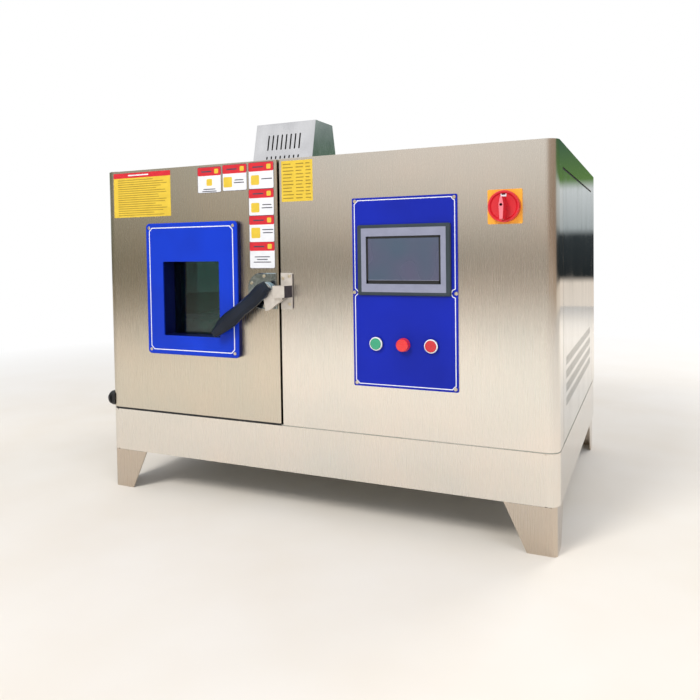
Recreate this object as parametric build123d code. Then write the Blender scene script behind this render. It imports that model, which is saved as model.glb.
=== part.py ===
from build123d import *
import math
import os

# Overall sizes of the cabinet, measured up from the floor and back from its front face
cabinet_width = 1114.0
cabinet_depth = 825.0
cabinet_height = 806.5
foot_height = 98.0
plinth_height = 104.0
corner_radius = 25.0
casing_sheet = 1.5
lever_reach = 46.0  # how far the lever and the switch knob stand in front of the front face
gland_reach = 24.0  # how far the cable gland and the drain stand behind the rear panel
buffer_reach = 16.0  # how far the black corner buffer stands out from the left side

# Plinth, deck and feet
plinth_sheet = 2.0
plinth_lip = 22.0
relief_hole_radius = 2.5
deck_thickness = 2.5
deck_inset = 1.0
foot_sheet = 3.0
foot_inset = 5.0
foot_bend_radius = 9.0
foot_top_width = 104.0
foot_bottom_width = 58.0

# Door and its opening
door_width = 504.0
door_gap = 5.0
door_thickness = 60.0
door_bottom_gap = 2.5
door_top_gap = 0.5
door_edge_radius = 3.0
jamb_setback = 67.0
jamb_sheet = 3.0
gasket_width = 14.0
gasket_inset = 20.0
running_gap = 0.3
pivot_inset = 14.0
pivot_depth = 28.0
pivot_pin_radius = 4.0
pivot_pin_length = 18.0
pivot_clearance = 0.05
pivot_block_radius = 11.0
pivot_plate_thickness = 2.0
pivot_plate_tail = 45.0

# Chamber
insulation = 65.0
liner_sheet = 1.2
liner_depth = 486.0
rear_insulation = 65.0
duct_depth = 162.0
baffle_sheet = 1.5
shelf_height = 425.0
shelf_wire_radius = 2.5
shelf_wire_pitch = 24.0
shelf_clearance = 8.0
evaporator_share = 0.75
evaporator_standoff = 70.0
evaporator_rise = 70.0
evaporator_depth = 60.0
evaporator_height = 150.0
fin_pitch = 24.0
humidifier_width = 200.0
humidifier_depth = 90.0
humidifier_height = 45.0
humidifier_standoff = 40.0
sensor_drop = 120.0
sensor_spread = 22.0
lamp_radius = 30.0
lamp_height = 29.0
lamp_setback = 70.0
heater_share = 0.6
heater_standoff = 30.0
heater_rise = 245.0
heater_rods = 4
heater_pitch = 26.0
heater_radius = 5.0
rail_leg = 14.0
rail_sheet = 2.0

# Window in the door, beside the latch, and its height from the floor
window_latch_gap = 21.0
window_height = 512.0
window_frame_width = 265.0
window_frame_height = 319.0
window_frame_proud = 15.0
window_frame_wall = 2.5
window_frame_corner = 10.0
window_width = 163.0
window_opening_height = 179.0
window_opening_drop = 23.5
window_corner = 3.0
pane_depth = 27.0
pane_thickness = 5.0
pane_bite = 7.0

# Latch: pivot measured from the door's right edge and from the floor
latch_from_edge = 30.0
latch_height = 509.5
latch_base_radius = 41.0
latch_base_reach = 49.0
latch_base_corner = 34.0
latch_base_thickness = 5.0
latch_base_gap = 3.8
latch_boss_radius = 21.0
spindle_radius = 7.0
cam_heel_radius = 44.5
cam_thickness = 8.0
cam_ramp = 2.0
cam_ramp_angle = 10.0
cam_start = -80.0
cam_heel_end = -48.0
cam_nose = -14.0
cam_end = 9.0
cam_tip_gap = 1.2
lever_angle = 218.8
lever_length = 159.0
lever_hub_length = 19.0
lever_width = 36.0
lever_thickness = 17.0
lever_boss_radius = 17.5
keeper_offset = 2.4
keeper_width = 30.0
keeper_head_height = 26.5
keeper_head_reach = 30.0
keeper_wall = 6.0
keeper_wall_inset = 6.6
keeper_bridge = 7.0
keeper_overhang = 7.5
keeper_roof = 3.0
keeper_taper = 6.6

# Control panel, from the right side and from the floor
panel_from_right = 310.0
panel_width = 230.6
panel_height = 401.8
panel_bottom = 308.3
panel_thickness = 2.0
panel_corner = 3.0
panel_screw_inset = 6.6
screw_head_radius = 3.8
screw_head_height = 1.6
screen_width = 204.0
screen_height = 149.0
screen_middle = 578.0
screen_proud = 6.0
screen_corner = 4.0
screen_border = 9.0
screen_body_depth = 35.0
screen_glass = 2.0
screen_view_width = 162.5
screen_view_height = 99.2
screen_recess = 1.2
button_height = 401.0
button_pitch = 60.5
button_offset = -1.1
bezel_radius = 14.3
bezel_proud = 8.0
lamp_proud = 14.0
button_hole_radius = 11.0
button_cap_radius = 12.0
button_stem_radius = 7.0
button_travel = 3.0
button_body_length = 34.0

# Main switch
switch_from_right = 100.0
switch_height = 680.4
switch_plate_size = 67.3
switch_plate_thickness = 2.5
switch_knob_radius = 31.0
switch_skirt = 14.0
switch_grip_width = 15.0
switch_shaft_radius = 5.0
switch_body_size = 56.0
switch_body_depth = 58.0

# Right side
side_strip_top = 46.0
side_strip_front = 70.0
side_strip_rear = 92.0
side_lip = 14.0
access_gap = 2.0
access_top_gap = 5.0
louvre_length = 18.0
louvre_width = 5.0
louvre_pitch = 15.0
louvre_row_pitch = 28.0
louvre_rows = 4
louvre_bottom = 272.0
louvre_margin = 48.0

# Hood, circulation motor and blower
hood_offset = 39.7
hood_width = 196.0
hood_top_depth = 110.0
hood_bottom_depth = 190.0
hood_height = 169.0
hood_sheet = 1.5
hood_flange = 14.0
hood_slots = 8
hood_slot_width = 4.6
hood_slot_length = 46.0
hood_slot_pitch = 14.8
hood_slot_rise = 88.0
hood_lower_slot_rise = 61.0
hood_lower_slot_length = 9.5
motor_radius = 45.0
motor_length = 105.0
motor_flange_size = 120.0
motor_flange_thickness = 6.0
shaft_radius = 6.0
shaft_hole_radius = 14.0
wheel_radius = 70.0
wheel_height = 46.0
wheel_drop = 24.0
wheel_blades = 20
wheel_sheet = 2.0

# Machine compartment
compressor_radius = 82.0
compressor_height = 215.0
compressor_from_panel = 108.0
compressor_setback = 470.0
compressor_foot = 22.0
terminal_reach = 26.0
terminal_width = 56.0
terminal_height = 70.0
module_rail_front = 170.0
module_rail_length = 390.0
module_drop = 190.0
module_row_pitch = 140.0
module_height = 86.0
module_gap = 5.0
module_rail_height = 8.0
condenser_width = 300.0
condenser_depth = 44.0
condenser_height = 290.0
condenser_from_right = 262.0
condenser_rear_space = 100.0
fan_radius = 125.0
fan_tip_gap = 5.0
fan_blades = 5
fan_hub_radius = 34.0
fan_height_above_deck = 155.0
shroud_depth = 34.0
shroud_sheet = 3.0
strut_height = 18.0
tank_width = 210.0
tank_depth = 130.0
tank_height = 190.0
tank_front = 110.0
tank_gap = 60.0
tank_neck_radius = 22.0
tank_neck_height = 16.0
gland_bore_radius = 6.0
gland_radius = 12.0
drain_radius = 8.0
service_from_left = 590.0
service_height = 262.0

# Places that follow from those sizes
left_x = -(cabinet_width + buffer_reach) / 2 + buffer_reach
right_x = left_x + cabinet_width
front_y = -(cabinet_depth + lever_reach + gland_reach) / 2 + lever_reach
plinth_top = foot_height + plinth_height
deck_top = plinth_top + deck_thickness
roof_under = cabinet_height - casing_sheet
door_right = left_x + door_width
panel_left = door_right + door_gap
door_bottom = deck_top + door_bottom_gap
door_top = cabinet_height - door_top_gap
liner_front = jamb_setback + jamb_sheet
liner_rear = liner_front + liner_depth
liner_left = left_x + casing_sheet + insulation
liner_right = panel_left - insulation
liner_bottom = deck_top + insulation
liner_top = roof_under - insulation
cavity_left = liner_left + liner_sheet
cavity_right = liner_right - liner_sheet
cavity_bottom = liner_bottom + liner_sheet
cavity_top = liner_top - liner_sheet
cavity_rear = liner_rear - liner_sheet
cavity_middle = (cavity_left + cavity_right) / 2
baffle_depth = cavity_rear - duct_depth
window_opening_z = window_height - window_opening_drop
latch_x = door_right - latch_from_edge
window_x = latch_x - latch_base_reach - window_latch_gap - window_frame_width / 2
keeper_left = panel_left + keeper_offset
keeper_column = keeper_left + keeper_width - keeper_wall_inset - keeper_wall
bridge_under = -keeper_head_reach + keeper_bridge
cam_front = bridge_under + running_gap
cam_back = cam_front + cam_thickness
cam_radius = keeper_column - cam_tip_gap - latch_x
panel_x = right_x - panel_from_right
panel_middle = panel_bottom + panel_height / 2
button_x = panel_x + button_offset
switch_x = right_x - switch_from_right
fan_axis_x = cavity_middle + hood_offset
hood_middle_depth = cavity_rear - duct_depth / 2
wheel_top = cavity_top - wheel_drop
condenser_x = right_x - condenser_from_right
service_x = left_x + service_from_left


def block(x0, x1, d0, d1, z0, z1):
    """Box between two X, two depths behind the front face, and two heights."""
    middle = ((x0 + x1) / 2, front_y + (d0 + d1) / 2, (z0 + z1) / 2)
    return Pos(*middle) * Box(x1 - x0, d1 - d0, z1 - z0)


def front_plane(x, depth, z):
    """Plane at a depth behind the front face that looks out of the cabinet's front."""
    return Plane(origin=(x, front_y + depth, z), x_dir=(1, 0, 0), z_dir=(0, -1, 0))


def side_plane(x, depth, z):
    """Plane at an X that looks out of the cabinet's right side, its own x running back."""
    return Plane(origin=(x, front_y + depth, z), x_dir=(0, 1, 0), z_dir=(1, 0, 0))


def slab(x, z, width, height, radius, d0, d1):
    """Plate with rounded corners, seen from the front, between two depths."""
    shape = RectangleRounded(width, height, radius) if radius else Rectangle(width, height)
    return extrude(front_plane(x, d1, z) * shape, d1 - d0)


def rod_y(x, z, radius, d0, d1):
    return Pos(x, front_y + (d0 + d1) / 2, z) * Rot(90, 0, 0) * Cylinder(radius, d1 - d0)


def rod_z(x, depth, radius, z0, z1):
    return Pos(x, front_y + depth, (z0 + z1) / 2) * Cylinder(radius, z1 - z0)


def rod_x(depth, z, radius, x0, x1):
    return Pos((x0 + x1) / 2, front_y + depth, z) * Rot(0, 90, 0) * Cylinder(radius, x1 - x0)


def folded(points, bends, thickness, z0, z1):
    """Sheet folded along a path of (x, depth) points, its thickness to the left of the path."""
    path = FilletPolyline(*[(x, front_y + d) for x, d in points], radius=bends)
    edge = offset(path, amount=thickness, side=Side.LEFT)
    return extrude(Pos(0, 0, z0) * make_face(edge), z1 - z0)


def turned(profile, x, depth, z, tilt=(0, 0, 0)):
    """Solid of revolution from (radius, height) points, stood on a place."""
    outline = make_face(Polyline(*[(r, 0, h) for r, h in profile], close=True))
    return Pos(x, front_y + depth, z) * Rot(*tilt) * revolve(outline, Axis.Z)


def screw(x, z, depth):
    """Dome head screw whose shank goes back into what it holds."""
    head = rod_y(x, z, screw_head_radius, depth - screw_head_height, depth)
    return chamfer(head.edges().group_by(Axis.Y)[0], screw_head_height * 0.6)


def plinth():
    outer = RectangleRounded(cabinet_width, cabinet_depth, corner_radius)
    inner_radius = corner_radius - plinth_sheet
    inner = RectangleRounded(cabinet_width - 2 * plinth_sheet, cabinet_depth - 2 * plinth_sheet, inner_radius)
    mouth = Rectangle(cabinet_width - 2 * plinth_lip, cabinet_depth - 2 * plinth_lip)
    wall = extrude(outer - inner, plinth_height)
    lip = extrude(outer - mouth, plinth_sheet)
    middle = Pos((left_x + right_x) / 2, front_y + cabinet_depth / 2, foot_height)
    shape = middle * (wall + lip + Pos(0, 0, plinth_height - plinth_sheet) * lip)
    for x in (left_x + corner_radius, right_x - corner_radius):
        for z in (foot_height, plinth_top):
            shape -= rod_y(x, z, relief_hole_radius, -1, plinth_sheet)
    return shape


def deck():
    width, depth = cabinet_width - 2 * deck_inset, cabinet_depth - 2 * deck_inset
    shape = extrude(RectangleRounded(width, depth, corner_radius - deck_inset), deck_thickness)
    return Pos((left_x + right_x) / 2, front_y + cabinet_depth / 2, plinth_top) * shape


def foot(right, rear):
    """Tapered foot folded from sheet, with a flange under the plinth."""
    run, top, low = foot_top_width, foot_top_width, foot_bottom_width
    corner = [(run, 0), (0, 0), (0, run)]
    path = FilletPolyline(*corner, radius=foot_bend_radius)
    legs = extrude(make_face(offset(path, amount=foot_sheet, side=Side.RIGHT)), foot_height)
    taper = Polyline((0, foot_height), (top, foot_height), (low, 0), (0, 0), close=True)
    along_x = extrude(Plane.XZ * make_face(taper), -run)
    along_y = extrude(Plane.YZ * make_face(taper), run)
    flange = Pos(0, 0, foot_height - foot_sheet) * extrude(
        make_face(Polyline((foot_sheet, foot_sheet), (top * 0.9, foot_sheet), (foot_sheet, top * 0.9), close=True)),
        foot_sheet,
    )
    shape = (legs & along_x & along_y) + flange
    if right:
        shape = mirror(shape, Plane.YZ)
    if rear:
        shape = mirror(shape, Plane.XZ)
    x = right_x - foot_inset if right else left_x + foot_inset
    y = front_y + (cabinet_depth - foot_inset if rear else foot_inset)
    return Pos(x, y, 0) * shape


def casing_left_side():
    points = [
        (left_x + side_lip, cabinet_depth - casing_sheet),
        (left_x, cabinet_depth - casing_sheet),
        (left_x, jamb_setback),
    ]
    return folded(points, casing_sheet * 1.5, casing_sheet, deck_top, roof_under)


def casing_top():
    corner = [
        (left_x, jamb_setback),
        (panel_left, jamb_setback),
        (panel_left, 0),
        (right_x, 0),
        (right_x, cabinet_depth),
        (left_x, cabinet_depth),
    ]
    outline = make_face(Polyline(*[(x, front_y + d) for x, d in corner], close=True))
    plate = extrude(Pos(0, 0, roof_under) * outline, casing_sheet)
    rounded = plate.edges().filter_by(Axis.Z).sort_by_distance((right_x, front_y, cabinet_height))[0]
    plate = fillet(rounded, corner_radius)
    return plate - rod_z(fan_axis_x, hood_middle_depth, shaft_hole_radius, roof_under - 1, cabinet_height + 1)


def grille_slots():
    """Rows of slots in the rear panel behind the condenser fan."""
    rows = int(2 * fan_radius / 24)
    middle = deck_top + fan_height_above_deck
    slots = [
        slab(condenser_x, middle + (i - (rows - 1) / 2) * 24, 2 * fan_radius, 8, 0, cabinet_depth - 2 * casing_sheet,
             cabinet_depth + 1)
        for i in range(rows)
    ]
    return slots


def casing_rear():
    plate = block(left_x + side_lip + running_gap, right_x - casing_sheet, cabinet_depth - casing_sheet,
                  cabinet_depth, deck_top, roof_under)
    for slot in grille_slots():
        plate -= slot
    for rise, radius in ((0, gland_radius - 2), (60, drain_radius)):
        plate -= rod_y(service_x, service_height + rise, radius, cabinet_depth - 5, cabinet_depth + 1)
    return plate


def front_panel():
    points = [
        (panel_left, door_thickness),
        (panel_left, 0),
        (right_x, 0),
        (right_x, side_strip_front),
    ]
    shape = folded(points, [casing_sheet * 1.5, corner_radius], casing_sheet, deck_top, roof_under)
    inner_width, inner_height = screen_width - 2 * screen_border, screen_height - 2 * screen_border
    shape -= slab(panel_x, screen_middle, inner_width, inner_height, 0, -1, casing_sheet + 1)
    for i in (-1, 0, 1):
        shape -= rod_y(button_x + i * button_pitch, button_height, button_hole_radius, -1, casing_sheet + 1)
    return shape - rod_y(switch_x, switch_height, switch_body_size * 0.4, -1, casing_sheet + 1)


def access_opening():
    """Depths and heights of the opening that the access panel closes."""
    return side_strip_front, cabinet_depth - side_strip_rear, deck_top, roof_under - side_strip_top


def casing_right_frame():
    d0, d1, z0, z1 = access_opening()
    outer = right_x - casing_sheet
    strips = block(outer, right_x, d0, cabinet_depth, z1, roof_under)
    strips += block(outer, right_x, d1, cabinet_depth, z0, z1)
    seat = block(outer - casing_sheet, outer, d0 - side_lip, cabinet_depth - casing_sheet, z0, roof_under)
    seat -= block(outer - 2 * casing_sheet, right_x, d0 + side_lip, d1 - side_lip, z0 + side_lip, z1 - side_lip)
    return strips + seat


def access_panel():
    d0, d1, z0, z1 = access_opening()
    plate = block(right_x - casing_sheet, right_x, d0 + access_gap, d1 - access_gap, z0 + access_gap,
                  z1 - access_top_gap)
    count = int((d1 - d0 - 2 * louvre_margin) / louvre_pitch) + 1
    middle = side_plane(right_x - 2 * casing_sheet, (d0 + d1) / 2, louvre_bottom + louvre_length / 2)
    slots = Sketch() + [
        Pos((i - (count - 1) / 2) * louvre_pitch, j * louvre_row_pitch) * Rectangle(louvre_width, louvre_length)
        for i in range(count)
        for j in range(louvre_rows)
    ]
    return plate - extrude(middle * slots, 3 * casing_sheet)


def partition_wall():
    return block(panel_left, panel_left + casing_sheet, jamb_setback, cabinet_depth - casing_sheet, deck_top,
                 roof_under)


def chamber_liner():
    box = block(liner_left, liner_right, liner_front, liner_rear, liner_bottom, liner_top)
    box -= block(cavity_left, cavity_right, liner_front - 1, cavity_rear, cavity_bottom, cavity_top)
    return box - rod_z(fan_axis_x, hood_middle_depth, shaft_hole_radius, cavity_top - 1, liner_top + 1)


def insulation_slabs():
    rear = liner_rear + rear_insulation
    left = block(left_x + casing_sheet, liner_left, liner_front, rear, deck_top, roof_under)
    right = block(liner_right, panel_left, liner_front, rear, deck_top, roof_under)
    floor = block(liner_left, liner_right, liner_front, rear, deck_top, liner_bottom)
    back = block(liner_left, liner_right, liner_rear, rear, liner_bottom, liner_top)
    top = block(liner_left, liner_right, liner_front, rear, liner_top, roof_under)
    top -= rod_z(fan_axis_x, hood_middle_depth, shaft_hole_radius, liner_top - 1, roof_under + 1)
    return [left, right, floor, back, top]


def door_jamb():
    ring = block(left_x + casing_sheet, panel_left, jamb_setback, liner_front, deck_top, roof_under)
    return ring - block(cavity_left, cavity_right, jamb_setback - 1, liner_front + 1, cavity_bottom, cavity_top)


def air_baffle():
    """Perforated wall in front of the air duct: outlet slots above, inlet slots below."""
    plate = block(cavity_left, cavity_right, baffle_depth, baffle_depth + baffle_sheet, cavity_bottom, cavity_top)
    width = (cavity_right - cavity_left) * 0.7
    for z, rows in ((cavity_top - 70, 5), (cavity_bottom + 30, 4)):
        for i in range(rows):
            plate -= slab(cavity_middle, z + i * 12, width, 5, 0, baffle_depth - 1, baffle_depth + 3)
    return plate


def shelf_rails():
    """Angle rails on both liner walls: at the shelf, and half way from it to the floor and to the ceiling."""
    rails = []
    back = baffle_depth - shelf_clearance
    for z in (shelf_height, (shelf_height + cavity_top) / 2, (shelf_height + cavity_bottom) / 2):
        top = z - shelf_wire_radius
        for wall, inward in ((cavity_left, 1), (cavity_right, -1)):
            x0, x1 = sorted((wall, wall + inward * rail_leg))
            y0, y1 = sorted((wall, wall + inward * rail_sheet))
            leg = block(x0, x1, liner_front + shelf_clearance, back, top - rail_sheet, top)
            rails.append(leg + block(y0, y1, liner_front + shelf_clearance, back, top - rail_leg, top))
    return rails


def wire_shelf():
    """Round wires: side rods on the rails, cross wires laid over them."""
    wires = []
    left, right = cavity_left + shelf_clearance, cavity_right - shelf_clearance
    front, back = liner_front + 2 * shelf_clearance, baffle_depth - 2 * shelf_clearance
    radius = shelf_wire_radius
    count = int((right - left) / shelf_wire_pitch)
    pitch = (right - left) / count
    for i in range(count + 1):
        wires.append((left + i * pitch, shelf_height))
    rods = [rod_z(0, 0, radius, 0, back - front) for _ in wires]
    placed = [rod_y(x, z, radius, front, back) for x, z in wires]
    braces = [rod_x(d, shelf_height + 2 * radius, radius, left - radius, right + radius)
              for d in (front + 20, (front + back) / 2, back - 20)]
    return placed[: len(rods)] + braces


def motor_hood():
    """Folded hood with sloping front and back, flanged at its foot and slotted on both slopes."""
    def outline(shrink):
        bottom, top = hood_bottom_depth / 2 - shrink, hood_top_depth / 2 - shrink
        rise = hood_height - shrink
        corners = [(-bottom, 0), (-top, rise), (top, rise), (bottom, 0)]
        return make_face(Polyline(*corners, close=True))

    place = side_plane(fan_axis_x, hood_middle_depth, cabinet_height)
    shell = extrude(place * outline(0), hood_width / 2, both=True)
    shell -= extrude(place * outline(hood_sheet), hood_width / 2 - hood_sheet, both=True)
    half = hood_width / 2
    for x0, x1 in ((fan_axis_x - half - hood_flange, fan_axis_x - half),
                   (fan_axis_x + half, fan_axis_x + half + hood_flange)):
        depth = hood_bottom_depth / 2
        shell += block(x0, x1, hood_middle_depth - depth, hood_middle_depth + depth, cabinet_height,
                       cabinet_height + hood_sheet)
    slots = Sketch()
    end = hood_slot_width * 0.49
    for i in range(hood_slots):
        x = (i - (hood_slots - 1) / 2) * hood_slot_pitch
        for rise, length in ((hood_slot_rise, hood_slot_length), (hood_lower_slot_rise, hood_lower_slot_length)):
            slots += Pos(x, rise + length / 2) * RectangleRounded(hood_slot_width, length, end)
    return shell - extrude(front_plane(fan_axis_x, hood_middle_depth, cabinet_height) * slots,
                           hood_bottom_depth, both=True)


def blower_motor():
    """Motor standing on the roof with a bore for its shaft and a ribbed body."""
    r, base = motor_radius, motor_flange_thickness
    bore = shaft_radius + running_gap
    rib = 2.5
    profile = [(bore, 0), (motor_flange_size / 2, 0), (motor_flange_size / 2, base), (r, base)]
    count = 4
    step = (motor_length - base) / (2 * count + 1)
    for i in range(count):
        z = base + (2 * i + 1) * step
        profile += [(r, z), (r + rib, z), (r + rib, z + step), (r, z + step)]
    profile += [(r, motor_length - 8), (r - 8, motor_length), (bore, motor_length)]
    return turned(profile, fan_axis_x, hood_middle_depth, cabinet_height)


def blower_wheel():
    """Centrifugal wheel with inclined blades between a back plate and a ring, on its shaft."""
    low = wheel_top - wheel_height
    x, depth = fan_axis_x, hood_middle_depth
    inner = wheel_radius * 0.72
    wheel = rod_z(x, depth, wheel_radius, wheel_top - wheel_sheet, wheel_top)
    ring = rod_z(x, depth, wheel_radius, low, low + wheel_sheet) - rod_z(x, depth, inner, low - 1, wheel_top)
    wheel += ring
    blade = Pos((inner + wheel_radius) / 2, 0, (low + wheel_top) / 2) * Rot(0, 0, 28) * Box(
        (wheel_radius - inner) * 0.98, wheel_sheet, wheel_height - wheel_sheet
    )
    for i in range(wheel_blades):
        wheel += Pos(x, front_y + depth, 0) * Rot(0, 0, i * 360 / wheel_blades) * blade
    wheel += rod_z(x, depth, shaft_radius * 2.4, wheel_top - wheel_height * 0.6, wheel_top)
    return wheel + rod_z(x, depth, shaft_radius, wheel_top - 1, cabinet_height + motor_length + 6)


def finned_coil(x, d0, z0, width, depth, height, pitch):
    """Coil block with upright fins, cut as one comb, and end plates."""
    count = int(width / pitch)
    comb = Rectangle(width, depth)
    for i in range(1, count):
        comb -= Pos(-width / 2 + i * width / count, 0) * Rectangle(pitch * 0.55, depth * 0.55)
    shape = extrude(Pos(x, front_y + d0 + depth / 2, z0) * comb, height)
    plate = extrude(Pos(x, front_y + d0 + depth / 2, z0) * Rectangle(width, depth * 1.0), 3)
    return shape + plate


def evaporator_coil():
    """Finned coil in the duct, carried by two end plates on the rear wall."""
    width = (cavity_right - cavity_left) * evaporator_share
    front, low = baffle_depth + evaporator_standoff, cavity_bottom + evaporator_rise
    coil = finned_coil(cavity_middle, front, low, width, evaporator_depth, evaporator_height, fin_pitch)
    for side in (-1, 1):
        x = cavity_middle + side * (width / 2 - rail_sheet)
        coil += block(x - rail_sheet, x + rail_sheet, front + evaporator_depth - 1, cavity_rear, low,
                      low + evaporator_height)
    return coil


def heater_coil():
    """Open frame of straight sheathed elements between two brackets on the rear wall."""
    width = (cavity_right - cavity_left) * heater_share
    left, right = cavity_middle - width / 2, cavity_middle + width / 2
    depth = cavity_rear - heater_standoff
    low = cavity_bottom + heater_rise
    high = low + (heater_rods - 1) * heater_pitch
    frame = Part()
    for x in (left, right):
        frame += block(x - 1, x + 1, depth - heater_pitch / 2, cavity_rear, low - heater_pitch / 2,
                       high + heater_pitch / 2)
    for i in range(heater_rods):
        frame += rod_x(depth, low + i * heater_pitch, heater_radius, left, right)
    return frame


def humidifier_pan():
    """Open tray with an immersion element on its floor."""
    sheet = casing_sheet
    d0, d1 = baffle_depth + humidifier_standoff, baffle_depth + humidifier_standoff + humidifier_depth
    x0, x1 = cavity_middle - humidifier_width / 2, cavity_middle + humidifier_width / 2
    top = cavity_bottom + humidifier_height
    tray = block(x0, x1, d0, d1, cavity_bottom, top)
    tray -= block(x0 + sheet, x1 - sheet, d0 + sheet, d1 - sheet, cavity_bottom + sheet, top + 1)
    element = cavity_bottom + sheet + 2.5 * heater_radius
    return tray + rod_x((d0 + d1) / 2, element, heater_radius, x0 + sheet / 2, x1 - sheet / 2)


def temperature_sensors():
    """Dry and wet bulb probes on a clip in front of the baffle."""
    z, reach, half = cavity_top - sensor_drop, 14, 4
    clip = block(cavity_middle - 1.5 * sensor_spread, cavity_middle + 1.5 * sensor_spread, baffle_depth - reach,
                 baffle_depth, z - half, z + half)
    for x in (-sensor_spread, sensor_spread):
        probe = sensor_spread * 0.8
        clip += rod_x(baffle_depth - reach + half, z, half, cavity_middle + x - probe, cavity_middle + x + probe)
    return clip


def chamber_lamp():
    """Bulkhead lamp under the chamber ceiling."""
    r, h = lamp_radius, lamp_height
    profile = [(0, 0), (r, 0), (r, -0.28 * h), (0.83 * r, -0.34 * h), (0.73 * r, -0.69 * h), (0.47 * r, -0.93 * h),
               (0, -h)]
    return turned(profile, cavity_middle, liner_front + lamp_setback, cavity_top)


def compressor():
    """Welded can on a foot plate, with a terminal cover on its side."""
    r, h, base = compressor_radius, compressor_height, compressor_foot
    seam = 0.55 * h
    profile = [(0, base), (r * 0.8, base), (r, base + 18), (r, seam), (r + 4, seam), (r + 4, seam + 6), (r, seam + 6),
               (r * 0.97, h * 0.8), (r * 0.6, h * 0.97), (0, h)]
    x, depth = panel_left + compressor_from_panel + r, compressor_setback
    can = turned(profile, x, depth, deck_top)
    plate = block(x - r, x + r, depth - r, depth + r, deck_top + base - 4, deck_top + base)
    for side in (-1, 1):
        for end in (-1, 1):
            plate += rod_z(x + side * (r - 14), depth + end * (r - 14), 11, deck_top, deck_top + base)
    low, half = deck_top + 0.28 * h, terminal_width / 2
    return can + plate + block(x + 0.9 * r, x + r + terminal_reach, depth - half, depth + half, low,
                               low + terminal_height)


def condenser_coil():
    d0 = cabinet_depth - casing_sheet - condenser_rear_space - condenser_depth
    return finned_coil(condenser_x, d0, deck_top, condenser_width, condenser_depth, condenser_height, 20)


def fan_z():
    return deck_top + fan_height_above_deck


def condenser_fan_shroud():
    """Plate on the back of the condenser with a round throat, a strut and the fan's motor."""
    d0 = cabinet_depth - casing_sheet - condenser_rear_space
    throat, sheet = fan_radius + fan_tip_gap, shroud_sheet
    half, motor = condenser_width / 2, 0.4 * shroud_depth
    plate = block(condenser_x - half, condenser_x + half, d0, d0 + sheet, deck_top,
                  deck_top + condenser_height + 2 * sheet)
    plate += rod_y(condenser_x, fan_z(), throat + sheet, d0, d0 + shroud_depth)
    plate -= rod_y(condenser_x, fan_z(), throat, d0 - 1, d0 + shroud_depth + 1)
    plate += block(condenser_x - throat - sheet / 2, condenser_x + throat + sheet / 2, d0, d0 + sheet + 1,
                   fan_z() - strut_height / 2, fan_z() + strut_height / 2)
    plate += rod_y(condenser_x, fan_z(), fan_hub_radius - 6, d0, d0 + motor)
    return plate - rod_y(condenser_x, fan_z(), shaft_radius + running_gap, d0 - 1, d0 + motor + 1)


def condenser_fan():
    """Axial fan with twisted blades on a hub."""
    d0 = cabinet_depth - casing_sheet - condenser_rear_space + 15
    depth = 22.0
    shape = rod_y(condenser_x, fan_z(), fan_hub_radius, d0, d0 + depth)
    shape += rod_y(condenser_x, fan_z(), shaft_radius, d0 - 12, d0 + 1)
    root, tip = fan_hub_radius - 4, fan_radius
    sections = []
    for radius, width, angle in ((root, 34, 38), ((root + tip) / 2, 62, 27), (tip, 74, 19)):
        height = 2.4
        sections.append(Plane(origin=(0, 0, radius), x_dir=(1, 0, 0), z_dir=(0, 0, 1)) *
                        (Rot(0, 0, angle) * Rectangle(width * 0.9, height)))
    blade = loft(sections)
    centre = Pos(condenser_x, front_y + d0 + depth / 2, fan_z())
    for i in range(fan_blades):
        shape += centre * Rot(0, i * 360 / fan_blades, 0) * blade
    return shape & rod_y(condenser_x, fan_z(), fan_radius, d0 - 12, d0 + depth + 10)


def water_tank():
    x1 = right_x - casing_sheet - tank_gap
    top = deck_top + tank_height
    body = block(x1 - tank_width, x1, tank_front, tank_front + tank_depth, deck_top, top)
    body = fillet(body.edges().filter_by(Axis.Z), 0.8 * tank_neck_radius)
    neck = rod_z(x1 - 2 * tank_neck_radius, tank_front + tank_depth / 2, tank_neck_radius, top, top + tank_neck_height)
    return body + neck


def electrical_modules():
    """Contactors and relays clipped side by side on two rails on the partition wall."""
    x0 = panel_left + casing_sheet
    rail = module_rail_height
    sizes = ((0.52, 1.0, 0.9), (0.52, 1.0, 0.9), (0.42, 1.05, 0.72), (0.84, 1.16, 0.68), (1.05, 0.93, 0.77))
    modules = []
    for row in range(2):
        z = cabinet_height - module_drop - row * module_row_pitch
        modules.append(block(x0, x0 + rail, module_rail_front, module_rail_front + module_rail_length, z - 0.2 * module_height,
                             z + 0.2 * module_height))
        d = module_rail_front + 2 * module_gap
        for wide, tall, deep in sizes:
            width, half, reach = wide * module_height, tall * module_height / 2, deep * module_height
            modules.append(block(x0 + rail, x0 + reach, d, d + width, z - half, z + half))
            d += width + module_gap + row
    return modules


def control_panel_plate():
    plate = slab(panel_x, panel_middle, panel_width, panel_height, panel_corner, -panel_thickness, 0)
    inner_width, inner_height = screen_width - 2 * screen_border, screen_height - 2 * screen_border
    plate -= slab(panel_x, screen_middle, inner_width, inner_height, 0, -panel_thickness - 1, 1)
    for i in (-1, 0, 1):
        plate -= rod_y(button_x + i * button_pitch, button_height, button_hole_radius, -panel_thickness - 1, 1)
    return plate


def touch_screen_housing():
    """Bezel in front of the panel with a recessed display opening, and the body behind it."""
    front = -panel_thickness - screen_proud
    shape = slab(panel_x, screen_middle, screen_width, screen_height, screen_corner, front, -panel_thickness)
    shape = chamfer(shape.edges().group_by(Axis.Y)[0], 2)
    inner_width, inner_height = screen_width - 2 * screen_border, screen_height - 2 * screen_border
    shape += slab(panel_x, screen_middle, inner_width, inner_height, 0, -panel_thickness, screen_body_depth)
    return shape - slab(panel_x, screen_middle, screen_view_width, screen_view_height, 1, front - 1,
                        front + screen_recess + screen_glass)


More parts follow.
